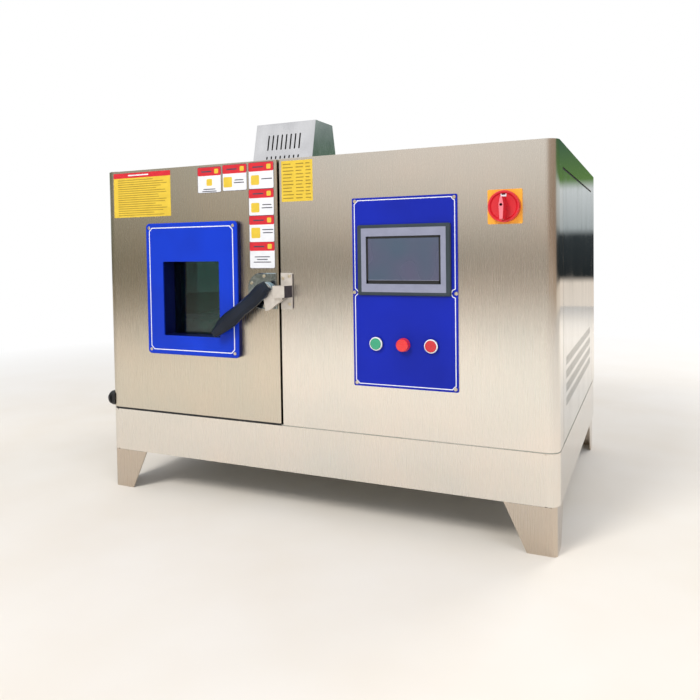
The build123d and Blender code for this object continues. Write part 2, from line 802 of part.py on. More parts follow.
def touch_screen_glass():
    back = -panel_thickness - screen_proud + screen_recess + screen_glass
    return slab(panel_x, screen_middle, screen_view_width, screen_view_height, 1, back - screen_glass, back)


def cabinet_screws():
    """Screws of the control panel and of the latch keeper."""
    reach_x = panel_width / 2 - panel_screw_inset
    low, high = panel_bottom + panel_screw_inset, panel_bottom + panel_height - panel_screw_inset
    places = [(panel_x + side * reach_x, z, -panel_thickness) for side in (-1, 1) for z in (low, high)]
    edge_x = panel_width / 2 - screw_head_radius
    places += [(panel_x + side * edge_x, panel_middle, -panel_thickness) for side in (-1, 1)]
    for dx, dz in ((6.5, 29), (keeper_width - 7, 34), (keeper_width - 7, -29)):
        places.append((keeper_left + dx, latch_height + dz, -latch_base_thickness))
    return [screw(x, z, depth) for x, z, depth in places]


def button_bezel(x):
    """Threaded body behind the panel with a round bezel in front, bored for the cap."""
    front = -panel_thickness - bezel_proud
    ring = rod_y(x, button_height, bezel_radius, front, -panel_thickness)
    ring = chamfer(ring.edges().group_by(Axis.Y)[0], 1.2)
    ring += rod_y(x, button_height, button_hole_radius, -panel_thickness, button_body_length)
    bore = button_cap_radius + running_gap
    ring -= rod_y(x, button_height, bore, front - 1, front + bezel_proud - 1.5)
    return ring - rod_y(x, button_height, button_stem_radius + running_gap, front, button_body_length - 4)


def button_cap(x):
    """Cap in the bezel with a stem that slides in the body, short of its floor by the travel."""
    front = -panel_thickness - bezel_proud
    face = front - 1.0
    back = front + bezel_proud - 1.5 - button_travel - running_gap
    cap = rod_y(x, button_height, button_cap_radius, face, back)
    cap = chamfer(cap.edges().group_by(Axis.Y)[0], 0.8)
    return cap + rod_y(x, button_height, button_stem_radius, back, button_body_length - 4 - button_travel - running_gap)


def pilot_lamp():
    """Red lens standing well out of its base, with its body through the panel."""
    lens = rod_y(button_x, button_height, bezel_radius - 0.9, -panel_thickness - lamp_proud, -panel_thickness - 3)
    lens = fillet(lens.edges().group_by(Axis.Y)[0], 2.5)
    lens += rod_y(button_x, button_height, bezel_radius - 0.2, -panel_thickness - 3, -panel_thickness)
    return lens + rod_y(button_x, button_height, button_hole_radius, -panel_thickness, button_body_length)


def switch_plate():
    plate = slab(switch_x, switch_height, switch_plate_size, switch_plate_size, 3, -switch_plate_thickness, 0)
    return plate - rod_y(switch_x, switch_height, switch_shaft_radius + 4, -switch_plate_thickness - 1, 1)


def switch_body():
    size = switch_body_size
    body = slab(switch_x, switch_height, size, size, 3, casing_sheet, casing_sheet + switch_body_depth)
    body += rod_y(switch_x, switch_height, size * 0.4 - running_gap, 0, casing_sheet)
    return body - rod_y(switch_x, switch_height, switch_shaft_radius + pivot_clearance, -1, casing_sheet + 30)


def switch_knob():
    """Round skirted knob with a dished face and a raised tapered grip across it."""
    back = -switch_plate_thickness - running_gap
    front = back - switch_skirt
    r = switch_knob_radius
    profile = [(0, 0), (r, 0), (r, switch_skirt * 0.75), (r - 2.5, switch_skirt), (r - 8, switch_skirt * 0.82),
               (0, switch_skirt * 0.7)]
    knob = turned(profile, switch_x, back, switch_height, (90, 0, 0))
    grip_front = -lever_reach + 6
    wide, narrow, reach = switch_grip_width, switch_grip_width * 0.62, r * 0.9
    base = front_plane(switch_x, front + switch_skirt * 0.5, switch_height)
    top = front_plane(switch_x, grip_front, switch_height)
    waist = Polyline((-narrow / 2, -reach), (narrow / 2, -reach), (wide / 2, 0), (narrow / 2, reach),
                     (-narrow / 2, reach), (-wide / 2, 0), close=True)
    foot_face = make_face(waist)
    knob += loft([base * foot_face, top * scale(foot_face, (0.72, 0.86, 1))])
    return knob + rod_y(switch_x, switch_height, switch_shaft_radius, back - 1, casing_sheet + 28)


def keeper():
    """Plate on the front panel with a cast head that takes in the latch cam from below and from the left."""
    right = keeper_left + keeper_width
    z0, z1 = latch_height - latch_base_radius, latch_height + latch_base_radius
    plate = block(keeper_left, right, -latch_base_thickness, 0, z0, z1)
    plate = fillet(plate.edges().filter_by(Axis.Y).group_by(Axis.X)[-1], 5)
    plate = chamfer(plate.faces().sort_by(Axis.Y)[0].edges(), 1.5)
    low, high = latch_height - keeper_head_height / 2, latch_height + keeper_head_height / 2
    front_right = keeper_column + keeper_wall
    plan = [
        (keeper_left - keeper_overhang, -keeper_head_reach),
        (front_right, -keeper_head_reach),
        (front_right + keeper_taper, -latch_base_thickness),
        (keeper_left, -latch_base_thickness),
    ]
    outline = make_face(Polyline(*[(x, front_y + d) for x, d in plan], close=True))
    head = extrude(Pos(0, 0, low) * outline, keeper_head_height)
    head = fillet(head.edges().filter_by(Axis.Z).group_by(Axis.Y)[0], 1.2)
    head -= block(keeper_left - 2 * keeper_overhang, keeper_column, bridge_under, -latch_base_thickness, low - 1,
                  high - keeper_roof)
    return plate + head


def latch_base():
    """Chromed plate with two round corners, and a turned boss that carries the spindle."""
    edge = latch_from_edge - latch_base_gap
    r = latch_base_radius
    outline = make_face(Polyline((-latch_base_reach, -r), (edge, -r), (edge, r), (-latch_base_reach, r), close=True))
    outline = fillet(outline.vertices().group_by(Axis.X)[0], latch_base_corner)
    plate = extrude(front_plane(latch_x, 0, latch_height) * outline, latch_base_thickness)
    plate = chamfer(plate.faces().sort_by(Axis.Y)[0].edges(), 1.5)
    boss_front = cam_back + running_gap
    boss = rod_y(latch_x, latch_height, latch_boss_radius, boss_front, -latch_base_thickness)
    boss = fillet(boss.edges().group_by(Axis.Y)[0], 3)
    return plate + boss - rod_y(latch_x, latch_height, spindle_radius + pivot_clearance, boss_front - 1, 1)


def latch_cam():
    """Spindle with a cam sector, thinner at the edge that slips under the keeper bridge first."""
    start, heel_end, nose, end = (math.radians(a) for a in (cam_start, cam_heel_end, cam_nose, cam_end))

    def at(angle, radius):
        return radius * math.cos(angle), radius * math.sin(angle)

    quarter = math.pi / 2
    heel = ThreePointArc(at(start, cam_heel_radius), at((start + heel_end) / 2, cam_heel_radius),
                         at(heel_end, cam_heel_radius))
    rise = Spline(at(heel_end, cam_heel_radius), at(nose, cam_radius),
                  tangents=[at(heel_end + quarter, 1), at(nose + quarter, 1)])
    tip = ThreePointArc(at(nose, cam_radius), at((nose + end) / 2, cam_radius), at(end, cam_radius))
    sector = make_face(heel + rise + tip + Polyline(at(end, cam_radius), (0, 0), at(start, cam_heel_radius)))
    face = front_plane(latch_x, cam_front, latch_height)
    plate = extrude(front_plane(latch_x, cam_back, latch_height) * sector, cam_thickness)
    tilt = math.degrees(math.atan2(cam_ramp, cam_radius * math.sin(math.radians(cam_ramp_angle))))
    size = 2 * cam_radius
    plate -= face * Rot(0, 0, cam_end - cam_ramp_angle) * Rot(-tilt, 0, 0) * Pos(0, size / 2, size / 2) * Box(
        2 * size, size, size)
    plate += rod_y(latch_x, latch_height, latch_boss_radius - 3, cam_front, cam_back)
    return plate + rod_y(latch_x, latch_height, spindle_radius, cam_front - 1, door_thickness * 0.15)


def latch_lever():
    """Faceted lever, lofted through eight sided sections that rise away from the door."""
    t, w = lever_thickness, lever_width
    rear_start = -cam_front + running_gap
    slope = lever_reach - rear_start - t
    hub = -lever_hub_length / lever_length
    stations = ((hub, 0.66, 0.78, 0.0), (0.0, 0.86, 1.0, 0.0), (0.16, 0.98, 0.86, 0.15), (0.44, 0.86, 0.89, 0.5),
                (0.66, 1.0, 1.08, 0.8), (0.81, 0.83, 1.03, 0.95), (1.0, 0.5, 0.5, 1.0))
    sections = []
    for share, upper, lower, rise in stations:
        u = share * lever_length
        top, bottom, bevel = upper * w / 2, -lower * w / 2, 0.24 * w * min(upper, lower)
        low = rear_start + slope * rise
        high = low + t * (1 if share < 0.9 else 0.8)
        side, ridge = low + t * 0.4, (top + bottom) / 2 - 0.1 * w
        points = [(bottom, low), (top, low), (top, side), (top - bevel, high - t * 0.12), (ridge, high),
                  (bottom + bevel * 0.7, high - t * 0.16), (bottom, side)]
        sections.append(make_face(Polyline(*[(u, v, y) for v, y in points], close=True)))
    arm = loft(sections, ruled=True)
    frame = Plane(origin=(latch_x, front_y, latch_height), x_dir=(1, 0, 0), z_dir=(0, -1, 0))
    shape = frame * Rot(0, 0, lever_angle) * arm
    shape += rod_y(latch_x, latch_height, lever_boss_radius, -rear_start - t / 2, -rear_start)
    return shape - rod_y(latch_x, latch_height, spindle_radius + pivot_clearance, cam_front - 1.2, cam_front)


def cabinet_hinges():
    """Pivot plates on the roof and on the deck, each with its pin."""
    x, d = left_x + pivot_inset, pivot_depth
    reach = jamb_setback + pivot_plate_tail
    plates = []
    for z, way in ((cabinet_height, -1), (deck_top, 1)):
        z0 = z
        rear = reach if way < 0 else jamb_setback - 1
        plate = block(left_x + 2, left_x + 2 + 2 * pivot_inset, pivot_depth - 16, rear, z0, z0 + pivot_plate_thickness)
        plate = fillet(plate.edges().filter_by(Axis.Z).group_by(Axis.Y)[0], 8)
        tip = pivot_plate_thickness if way > 0 else 0
        ends = sorted((z0 + tip, z0 + tip + way * pivot_pin_length))
        plates.append(plate + rod_z(x, d, pivot_pin_radius, *ends))
    return plates


def door_slab(inset, d0, d1):
    """Block of the door's outline, its left front corner rounded like the cabinet's."""
    body = block(left_x + inset, door_right - inset, d0, d1, door_bottom + inset, door_top - inset)
    upright = body.edges().filter_by(Axis.Z).group_by(Axis.Y)[0].sort_by(Axis.X)
    body = fillet(upright[0], corner_radius - inset)
    upright = body.edges().filter_by(Axis.Z).sort_by_distance((door_right, front_y, door_bottom))
    return fillet(upright[0], max(door_edge_radius - inset, 0.5))


def window_hole(grow, d0, d1):
    return slab(window_x, window_opening_z, window_width + 2 * grow, window_opening_height + 2 * grow, window_corner,
                d0, d1)


def pivot_places():
    """Heights between which the door's pivot blocks sit, with the block's own top or bottom face."""
    depth = pivot_pin_length + 4
    return (door_bottom, door_bottom + depth), (door_top - depth, door_top)


def door_skin():
    """Pan that forms the door's face and its four edges."""
    skin = door_slab(0, 0, door_thickness - casing_sheet) - door_slab(casing_sheet, casing_sheet, door_thickness)
    skin -= window_hole(window_frame_wall, -1, door_thickness)
    for low, high in pivot_places():
        skin -= rod_z(left_x + pivot_inset, pivot_depth, pivot_block_radius, low - 1, high + 1)
    spindle_hole = spindle_radius + running_gap
    return skin - rod_y(latch_x, latch_height, spindle_hole, -1, casing_sheet + 1)


def door_foam():
    foam = door_slab(casing_sheet, casing_sheet, door_thickness - casing_sheet)
    foam -= window_hole(window_frame_wall, -1, door_thickness)
    for low, high in pivot_places():
        foam -= rod_z(left_x + pivot_inset, pivot_depth, pivot_block_radius, low - 1, high + 1)
    foam -= window_panes()[0] + window_panes()[1]
    return foam - rod_y(latch_x, latch_height, spindle_radius + running_gap, 0, door_thickness * 0.2)


def door_inner_pan():
    pan = block(left_x, door_right, door_thickness - casing_sheet, door_thickness, door_bottom, door_top)
    return pan - window_hole(0, door_thickness - 2 * casing_sheet, door_thickness + 1)


def door_gasket():
    """Hollow lipped seal drawn as a square ring, almost closing on the jamb."""
    x0, x1 = left_x + gasket_inset, door_right - gasket_inset
    z0, z1 = door_bottom + gasket_inset, door_top - gasket_inset
    rear = jamb_setback - running_gap
    w = gasket_width
    ring = block(x0, x1, door_thickness, rear, z0, z1)
    ring = fillet(ring.edges().filter_by(Axis.Y), w)
    return ring - block(x0 + w, x1 - w, door_thickness - 1, rear + 1, z0 + w, z1 - w)


def window_frame():
    """Blue pressed surround with rounded edges and a deep reveal down to the pane."""
    wall, proud = window_frame_wall, window_frame_proud
    shape = slab(window_x, window_height, window_frame_width, window_frame_height, window_frame_corner, -proud, 0)
    shape = fillet(shape.edges().group_by(Axis.Y)[0], 3)
    shape -= slab(window_x, window_height, window_frame_width - 2 * wall, window_frame_height - 2 * wall,
                  window_frame_corner - wall, -proud + wall, 1)
    shape += window_hole(wall, -proud + wall / 2, pane_depth)
    return shape - window_hole(0, -proud - 1, pane_depth + 1)


def window_panes():
    """Outer and inner glass, each set in a groove wider than the opening."""
    inner = door_thickness - casing_sheet - pane_thickness
    width, height = window_width + 2 * pane_bite, window_opening_height + 2 * pane_bite
    return [slab(window_x, window_opening_z, width, height, 4, d, d + pane_thickness) for d in (pane_depth, inner)]


def window_reveal():
    """Spacer between the panes."""
    inner = door_thickness - casing_sheet - pane_thickness
    ring = window_hole(window_frame_wall, pane_depth + pane_thickness, inner)
    return ring - window_hole(0, pane_depth, inner + 1)


def door_screws():
    """Screws of the window frame and of the latch base."""
    inset = 11.0
    x, z = window_frame_width / 2 - inset, window_frame_height / 2 - inset
    places = [(window_x + i * x, window_height + j * z, -window_frame_proud) for i in (-1, 1) for j in (-1, 1)]
    for dx, dz in ((-38, 18), (-5, 34), (-5, -34)):
        places.append((latch_x + dx, latch_height + dz, -latch_base_thickness))
    return [screw(px, pz, depth) for px, pz, depth in places]


def door_pivot_blocks():
    """Bushes that turn on the pivot pins, and the black buffer on the lower left corner."""
    x, d = left_x + pivot_inset, pivot_depth
    bore = pivot_pin_radius + pivot_clearance
    (low, low_end), (high, high_end) = pivot_places()
    lower = rod_z(x, d, pivot_block_radius, low, low_end) - rod_z(x, d, bore, low - 1, deck_top
            + pivot_plate_thickness + pivot_pin_length + 1)
    upper = rod_z(x, d, pivot_block_radius, high, high_end) - rod_z(x, d, bore, cabinet_height - pivot_pin_length - 1,
            high_end + 1)
    height = 38.0
    reach = buffer_reach
    dome = [(0, -corner_radius / 2), (height / 2, -corner_radius / 2), (height / 2, 0), (height / 2 - 2, reach * 0.45),
            (height / 2 - 8, reach * 0.85), (height / 4 - 3, reach), (0, reach)]
    middle = door_bottom + height / 2
    buffer = turned(dome, left_x, corner_radius * 0.6, middle, (0, -90, 0)) - door_slab(0, -1, door_thickness)
    buffer -= block(left_x, left_x + corner_radius, -corner_radius, 0, door_bottom, door_bottom + height)
    return [lower, upper, buffer]


def cable_gland():
    """Gland through the rear panel: hexagon, dome nut and the bore for the supply cable."""
    x, z, d = service_x, service_height, cabinet_depth
    shape = rod_y(x, z, gland_radius - 2, d - 12, d + 1)
    hexagon = RegularPolygon(gland_radius + 3, 6)
    for start, run in ((d, 6), (d - casing_sheet - 5, 5)):
        shape += extrude(front_plane(x, start + run, z) * hexagon, run)
    shape += rod_y(x, z, gland_radius, d + 5, d + gland_reach)
    return shape - rod_y(x, z, gland_bore_radius, d - 15, d + gland_reach + 1)


def drain_fitting():
    """Hose spigot with a flange on the rear panel."""
    x, z, d = service_x, service_height + 60, cabinet_depth
    shape = rod_y(x, z, drain_radius, d - 14, d + gland_reach)
    shape += rod_y(x, z, drain_radius * 1.8, d, d + 3)
    return shape - rod_y(x, z, drain_radius * 0.6, d - 15, d + gland_reach + 1)


def build():
    sides = (("left", False), ("right", True))
    parts = {f"foot_{'rear' if rear else 'front'}_{name}": foot(right, rear)
             for name, right in sides for rear in (False, True)}
    parts.update(
        base_plinth=plinth(),
        base_deck=deck(),
        casing_left_side=casing_left_side(),
        casing_top=casing_top(),
        casing_rear=casing_rear(),
        front_panel=front_panel(),
        casing_right_frame=casing_right_frame(),
        access_panel=access_panel(),
        partition_wall=partition_wall(),
        chamber_liner=chamber_liner(),
        insulation_slabs=insulation_slabs(),
        door_jamb=door_jamb(),
        air_baffle=air_baffle(),
        shelf_rails=shelf_rails(),
        wire_shelf=wire_shelf(),
        motor_hood=motor_hood(),
        blower_motor=blower_motor(),
        blower_wheel=blower_wheel(),
        evaporator_coil=evaporator_coil(),
        heater_coil=heater_coil(),
        humidifier_pan=humidifier_pan(),
        temperature_sensors=temperature_sensors(),
        chamber_lamp=chamber_lamp(),
        compressor=compressor(),
        condenser_coil=condenser_coil(),
        condenser_fan_shroud=condenser_fan_shroud(),
        condenser_fan=condenser_fan(),
        water_tank=water_tank(),
        electrical_modules=electrical_modules(),
        control_panel_plate=control_panel_plate(),
        touch_screen_housing=touch_screen_housing(),
        touch_screen_glass=touch_screen_glass(),
        cabinet_screws=cabinet_screws(),
        button_bezels=[button_bezel(button_x + i * button_pitch) for i in (-1, 1)],
        light_button=button_cap(button_x - button_pitch),
        power_button=button_cap(button_x + button_pitch),
        pilot_lamp=pilot_lamp(),
        switch_plate=switch_plate(),
        switch_body=switch_body(),
        switch_knob=switch_knob(),
        latch_keeper=keeper(),
        latch_base=latch_base(),
        latch_cam=latch_cam(),
        latch_lever=latch_lever(),
        cabinet_hinges=cabinet_hinges(),
        door_skin=door_skin(),
        door_foam=door_foam(),
        door_inner_pan=door_inner_pan(),
        door_gasket=door_gasket(),
        window_frame=window_frame(),
        window_panes=window_panes(),
        window_reveal=window_reveal(),
        door_screws=door_screws(),
        door_pivot_blocks=door_pivot_blocks(),
        cable_gland=cable_gland(),
        drain_fitting=drain_fitting(),
    )
    return parts


os.makedirs("parts", exist_ok=True)
for name, shape in build().items():
    solids = shape if isinstance(shape, list) else [shape]
    pieces = [solid for item in solids for solid in item.solids()]
    export_step(pieces[0] if len(pieces) == 1 else Compound(children=pieces), f"parts/{name}.step")
    print(name, len(pieces))
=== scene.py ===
import math

import bmesh
import bpy
from mathutils import Matrix, Vector


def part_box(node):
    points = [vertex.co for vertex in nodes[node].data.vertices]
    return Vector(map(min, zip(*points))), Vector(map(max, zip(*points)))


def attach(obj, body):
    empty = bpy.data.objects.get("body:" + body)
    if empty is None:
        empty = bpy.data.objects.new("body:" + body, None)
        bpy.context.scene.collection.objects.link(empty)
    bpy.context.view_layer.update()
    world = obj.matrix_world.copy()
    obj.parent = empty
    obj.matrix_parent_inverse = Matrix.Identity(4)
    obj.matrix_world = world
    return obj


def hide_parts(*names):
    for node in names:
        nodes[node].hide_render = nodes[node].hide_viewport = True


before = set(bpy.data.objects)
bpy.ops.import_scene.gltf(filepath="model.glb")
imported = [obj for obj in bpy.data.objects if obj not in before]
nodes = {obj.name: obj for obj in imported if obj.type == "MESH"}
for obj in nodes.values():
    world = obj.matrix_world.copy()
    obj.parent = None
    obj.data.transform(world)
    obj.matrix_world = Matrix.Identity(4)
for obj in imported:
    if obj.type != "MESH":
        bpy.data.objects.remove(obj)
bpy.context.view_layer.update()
scene = bpy.context.scene
print("frame loaded:", len(nodes), "nodes")


def linear(hexColour):
    channels = [int(hexColour[i:i + 2], 16) / 255 for i in (1, 3, 5)]
    return tuple(c / 12.92 if c <= 0.04045 else ((c + 0.055) / 1.055) ** 2.4 for c in channels) + (1.0,)


def addNode(tree, kind, settings=None, links=None):
    node = tree.nodes.new(kind)
    for name, value in (settings or {}).items():
        if isinstance(name, int) or name in node.inputs:
            node.inputs[name].default_value = value
        else:
            setattr(node, name, value)
    for name, source in (links or {}).items():
        tree.links.new(source, node.inputs[name])
    return node


def startMaterial(name, settings):
    material = bpy.data.materials.new(name)
    material.use_nodes = True
    tree = material.node_tree
    tree.nodes.clear()
    shader = addNode(tree, "ShaderNodeBsdfPrincipled", settings)
    addNode(tree, "ShaderNodeOutputMaterial", links={"Surface": shader.outputs[0]})
    place = addNode(tree, "ShaderNodeTexCoord").outputs["Object"]
    return material, tree, shader, place


noise = "ShaderNodeTexNoise"
cells = "ShaderNodeTexVoronoi"


# A pattern is its texture, its real size in millimetres (across, deep, up) and the texture's own settings
def addPatterns(tree, place, patterns):
    made = {}
    for name, (kind, size, settings) in patterns.items():
        spread = addNode(tree, "ShaderNodeMapping", {"Scale": [1000 / mm for mm in size]}, {"Vector": place})
        made[name] = addNode(tree, kind, {"Scale": 1.0, **settings}, {"Vector": spread.outputs[0]}).outputs
    return made


# Most finishes are built alike: a pattern drifts between two shades, and it or a finer one varies the roughness
# and lifts the relief, which is given as strength and depth in millimetres. A cover lays one more colour on top.
def makeFinish(look, cover=None):
    material, tree, shader, place = startMaterial(look["name"], look["shader"])
    made = addPatterns(tree, place, look["patterns"])
    sources = {name: outputs[look.get("read", 0)] for name, outputs in made.items()}
    low, high = look.get("band", (0.3, 0.7))
    coat = None
    if "shades" in look:
        pattern, first, second = look["shades"]
        drift = addNode(tree, "ShaderNodeMapRange", {"From Min": low, "From Max": high}, {"Value": sources[pattern]})
        coat = addNode(tree, "ShaderNodeMix", {"data_type": "RGBA", 6: linear(first), 7: linear(second)},
                       {0: drift.outputs[0]}).outputs[2]
    if cover:
        coat = cover(tree, place, coat)
    if coat is not None:
        tree.links.new(coat, shader.inputs["Base Color"])
    if "rough" in look:
        pattern, least, most = look["rough"]
        rough = addNode(tree, "ShaderNodeMapRange", {"From Min": low, "From Max": high, "To Min": least,
                                                     "To Max": most}, {"Value": sources[pattern]})
        tree.links.new(rough.outputs[0], shader.inputs["Roughness"])
    if "relief" in look:
        pattern, strength, depth = look["relief"]
        relief = addNode(tree, "ShaderNodeBump", {"Strength": strength, "Distance": depth / 1000},
                         {"Height": sources[pattern]})
        tree.links.new(relief.outputs[0], shader.inputs["Normal"])
    return material


# Brushed 304 stainless sheet: upright grain lines blur what the room throws on it, with faint warm clouds.
# The real grain is near 0.2 mm and is drawn four times as coarse, so that it shows.
brushedSteel = {
    "name": "brushedStainless", "spread": 0.85, "warm": "#e9e1d8", "cool": "#e1ded7",
    "patterns": {"grain": (noise, (0.9, 0.9, 120), {"Detail": 2.0}),
                 "cloud": (noise, (140, 140, 140), {"Detail": 3.0})},
    "cloudBand": (0.30, 0.70), "grainBand": (0.30, 0.70), "rough": (0.262, 0.280), "relief": (0.003, 0.2),
    "streakBand": (0.40, 0.75), "streak": 0.05, "streakShade": 0.86, "sideBand": (0.55, 0.95), "sideRough": 0.10,
}
# Painted shade: the door skin is a darker copy of the same steel, for the shaded floor it mirrors
shadedDoorSteel = {**brushedSteel, "name": "brushedDoorSkinShaded", "warm": "#d6cbbb", "cool": "#d0cabc"}
roofSteel = {**brushedSteel, "name": "brushedRoofSheet", "spread": 0.0, "rough": (0.30, 0.34)}
# Painted shade: the feet are a darker copy of the same steel, as they mirror the floor nearer in shade
shadedFootSteel = {**brushedSteel, "name": "brushedFootPlateShaded", "warm": "#cdbfb0", "cool": "#c8beb2"}


def makeBrushedSteel(look):
    material, tree, shader, place = startMaterial(look["name"], {"Metallic": 1.0, "Anisotropic": look["spread"]})
    # grain lines that stand upright spread a reflection sideways and leave it crisp up and down
    level = addNode(tree, "ShaderNodeTangent", {"direction_type": "RADIAL", "axis": "Z"})
    tree.links.new(level.outputs[0], shader.inputs["Tangent"])
    made = addPatterns(tree, place, look["patterns"])
    grain, cloud = made["grain"][0], made["cloud"][0]
    surface = addNode(tree, "ShaderNodeNewGeometry")
    facing = addNode(tree, "ShaderNodeSeparateXYZ", None, {0: surface.outputs["Normal"]})
    sideways = addNode(tree, "ShaderNodeMath", {"operation": "ABSOLUTE"}, {0: facing.outputs["X"]}).outputs[0]
    bands = {}
    for name, source, (fromLow, fromHigh), (low, high) in (
            ("tint", cloud, look["cloudBand"], (0, 1)), ("streak", grain, look["streakBand"], (0, look["streak"])),
            ("rough", grain, look["grainBand"], look["rough"]), ("side", sideways, look["sideBand"], (0, 1))):
        bands[name] = addNode(tree, "ShaderNodeMapRange", {"From Min": fromLow, "From Max": fromHigh, "To Min": low,
                                                           "To Max": high}, {"Value": source}).outputs[0]
    tint = addNode(tree, "ShaderNodeMix", {"data_type": "RGBA", 6: linear(look["warm"]), 7: linear(look["cool"])},
                   {0: bands["tint"]})
    streak = addNode(tree, "ShaderNodeMix", {"data_type": "RGBA", "blend_type": "MULTIPLY",
                                             7: (look["streakShade"],) * 3 + (1,)},
                     {0: bands["streak"], 6: tint.outputs[2]})
    tree.links.new(streak.outputs[2], shader.inputs["Base Color"])
    # the sheets that face sideways keep the smooth finish of the mill
    rough = addNode(tree, "ShaderNodeMix", {"data_type": "FLOAT", 3: look["sideRough"]},
                    {0: bands["side"], 2: bands["rough"]})
    tree.links.new(rough.outputs[0], shader.inputs["Roughness"])
    strength, depth = look["relief"]
    relief = addNode(tree, "ShaderNodeBump", {"Strength": strength, "Distance": depth / 1000}, {"Height": grain})
    tree.links.new(relief.outputs[0], shader.inputs["Normal"])
    return material


# Polished 304 stainless sheet: near a mirror, with wiped smears and a slow waviness in the sheet
polishedSteel = {
    "name": "polishedStainless", "shader": {"Metallic": 1.0},
    "patterns": {"smear": (noise, (71.43, 71.43, 200), {"Detail": 4.0}),
                 "wave": (noise, (200, 200, 250), {"Detail": 0.0})},
    "shades": ("smear", "#dcdad6", "#cfcdc8"), "rough": ("smear", 0.05, 0.16), "relief": ("wave", 0.10, 4.0),
}

# Mill finish stainless inside the chamber: soft grey, finely frosted, no direction
millSteel = {
    "name": "millStainless", "shader": {"Metallic": 1.0},
    "patterns": {"frost": (noise, (2.381,) * 3, {"Detail": 2.0}), "cloud": (noise, (111.11,) * 3, {"Detail": 2.0})},
    "shades": ("cloud", "#c4c3bd", "#adb0aa"), "rough": ("frost", 0.30, 0.44), "relief": ("frost", 0.05, 0.2),
}

# Bright folded sheet of the motor hood: pale and silky with dents that show as slow ripples
hoodSteel = {
    "name": "hoodSheetSteel", "shader": {"Metallic": 1.0},
    "patterns": {"ripple": (noise, (62.5, 62.5, 83.33), {"Detail": 1.0}),
                 "fine": (noise, (2, 2, 25), {"Detail": 2.0})},
    "shades": ("ripple", "#e9e9ea", "#d6d6d8"), "rough": ("fine", 0.16, 0.26), "relief": ("ripple", 0.12, 3.0),
}

# Hot dip galvanised sheet of the partition: flat grey crystals of several shades
galvanisedSteel = {
    "name": "galvanisedSheet", "shader": {"Metallic": 1.0}, "read": "Color", "band": (0.2, 0.8),
    "patterns": {"spangle": (cells, (14.286,) * 3, {"Randomness": 1.0})},
    "shades": ("spangle", "#9aa0a3", "#c2c6c8"), "rough": ("spangle", 0.34, 0.52),
}

# Blue lacquered aluminium plate: deep even blue, satin, with the faintest orange peel
blueLacquer = {
    "name": "bluePlateLacquer", "shader": {"Specular IOR Level": 0.22, "IOR": 1.45},
    "patterns": {"peel": (noise, (1.1111,) * 3, {"Detail": 1.0}), "drift": (noise, (142.86,) * 3, {"Detail": 2.0})},
    "shades": ("drift", "#0d25ae", "#0b209c"), "rough": ("drift", 0.38, 0.46), "relief": ("peel", 0.05, 0.1),
}
# The frame's wall colour is painted shade, laid on the walls of its opening
frameLacquer = {
    **blueLacquer, "name": "blueFrameLacquer", "shades": ("drift", "#0a3acb", "#0833b8"),
    "rough": ("drift", 0.32, 0.40), "wall": "#08124a", "wallShadeBand": (0.0015, 0.0045),
}


# Painted shade: from a few millimetres behind the frame's front, the walls of its opening are darkened towards a dark
# navy, as they lie in shade
def paintWallShade(tree, place, coat):
    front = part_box("window_frame")[0].y
    start, end = frameLacquer["wallShadeBand"]
    split = addNode(tree, "ShaderNodeSeparateXYZ", None, {0: place})
    depth = addNode(tree, "ShaderNodeMapRange", {"From Min": front + start, "From Max": front + end},
                    {"Value": split.outputs["Y"]})
    return addNode(tree, "ShaderNodeMix", {"data_type": "RGBA", 7: linear(frameLacquer["wall"])},
                   {0: depth.outputs[0], 6: coat}).outputs[2]


# Moulded plastics: an even colour with the fine grain of a spark-eroded mould and a slight drift in shade.
# The real mould grain is near 0.1 mm and is drawn coarser, so that it shows.
def makeMoulded(name, colour, shade, rough, grain=0.6, relief=0.12, gloss=0.0, shine=0.5):
    return makeFinish({
        "name": name,
        "shader": {"IOR": 1.5, "Coat Weight": gloss, "Coat Roughness": 0.08, "Specular IOR Level": shine},
        "patterns": {"skin": (noise, (grain,) * 3, {"Detail": 2.0}),
                     "drift": (noise, (45.455,) * 3, {"Detail": 2.0})},
        "shades": ("drift", colour, shade), "rough": ("skin", rough - 0.05, rough + 0.07),
        "relief": ("skin", relief, 0.1),
    })


# White ring of the push buttons on their dark body: the white ends a few millimetres behind the front
buttonRim = {
    "name": "buttonRimAbs", "shader": {"IOR": 1.5, "Roughness": 0.3}, "white": "#f0f0f2", "dark": "#2a2c34",
    "depth": 0.0036, "patterns": {"skin": (noise, (0.6667,) * 3, {"Detail": 1.0})}, "relief": ("skin", 0.06, 0.1),
}


def paintRing(tree, place, coat):
    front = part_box("button_bezels")[0].y + buttonRim["depth"]
    split = addNode(tree, "ShaderNodeSeparateXYZ", None, {0: place})
    behind = addNode(tree, "ShaderNodeMath", {"operation": "GREATER_THAN", 1: front}, {0: split.outputs["Y"]})
    return addNode(tree, "ShaderNodeMix", {"data_type": "RGBA", 6: linear(buttonRim["white"]),
                                           7: linear(buttonRim["dark"])}, {0: behind.outputs[0]}).outputs[2]


# Chromium plate over zinc casting: bright with grey-green reflections and tiny pits under the plate
chromePlate = {
    "name": "chromePlate", "shader": {"Metallic": 1.0},
    "patterns": {"pits": (noise, (3.846,) * 3, {"Detail": 3.0}), "cloud": (noise, (25, 25, 25), {"Detail": 2.0})},
    "shades": ("cloud", "#bfced3", "#a5b6bd"), "rough": ("pits", 0.08, 0.20), "relief": ("pits", 0.10, 0.2),
}

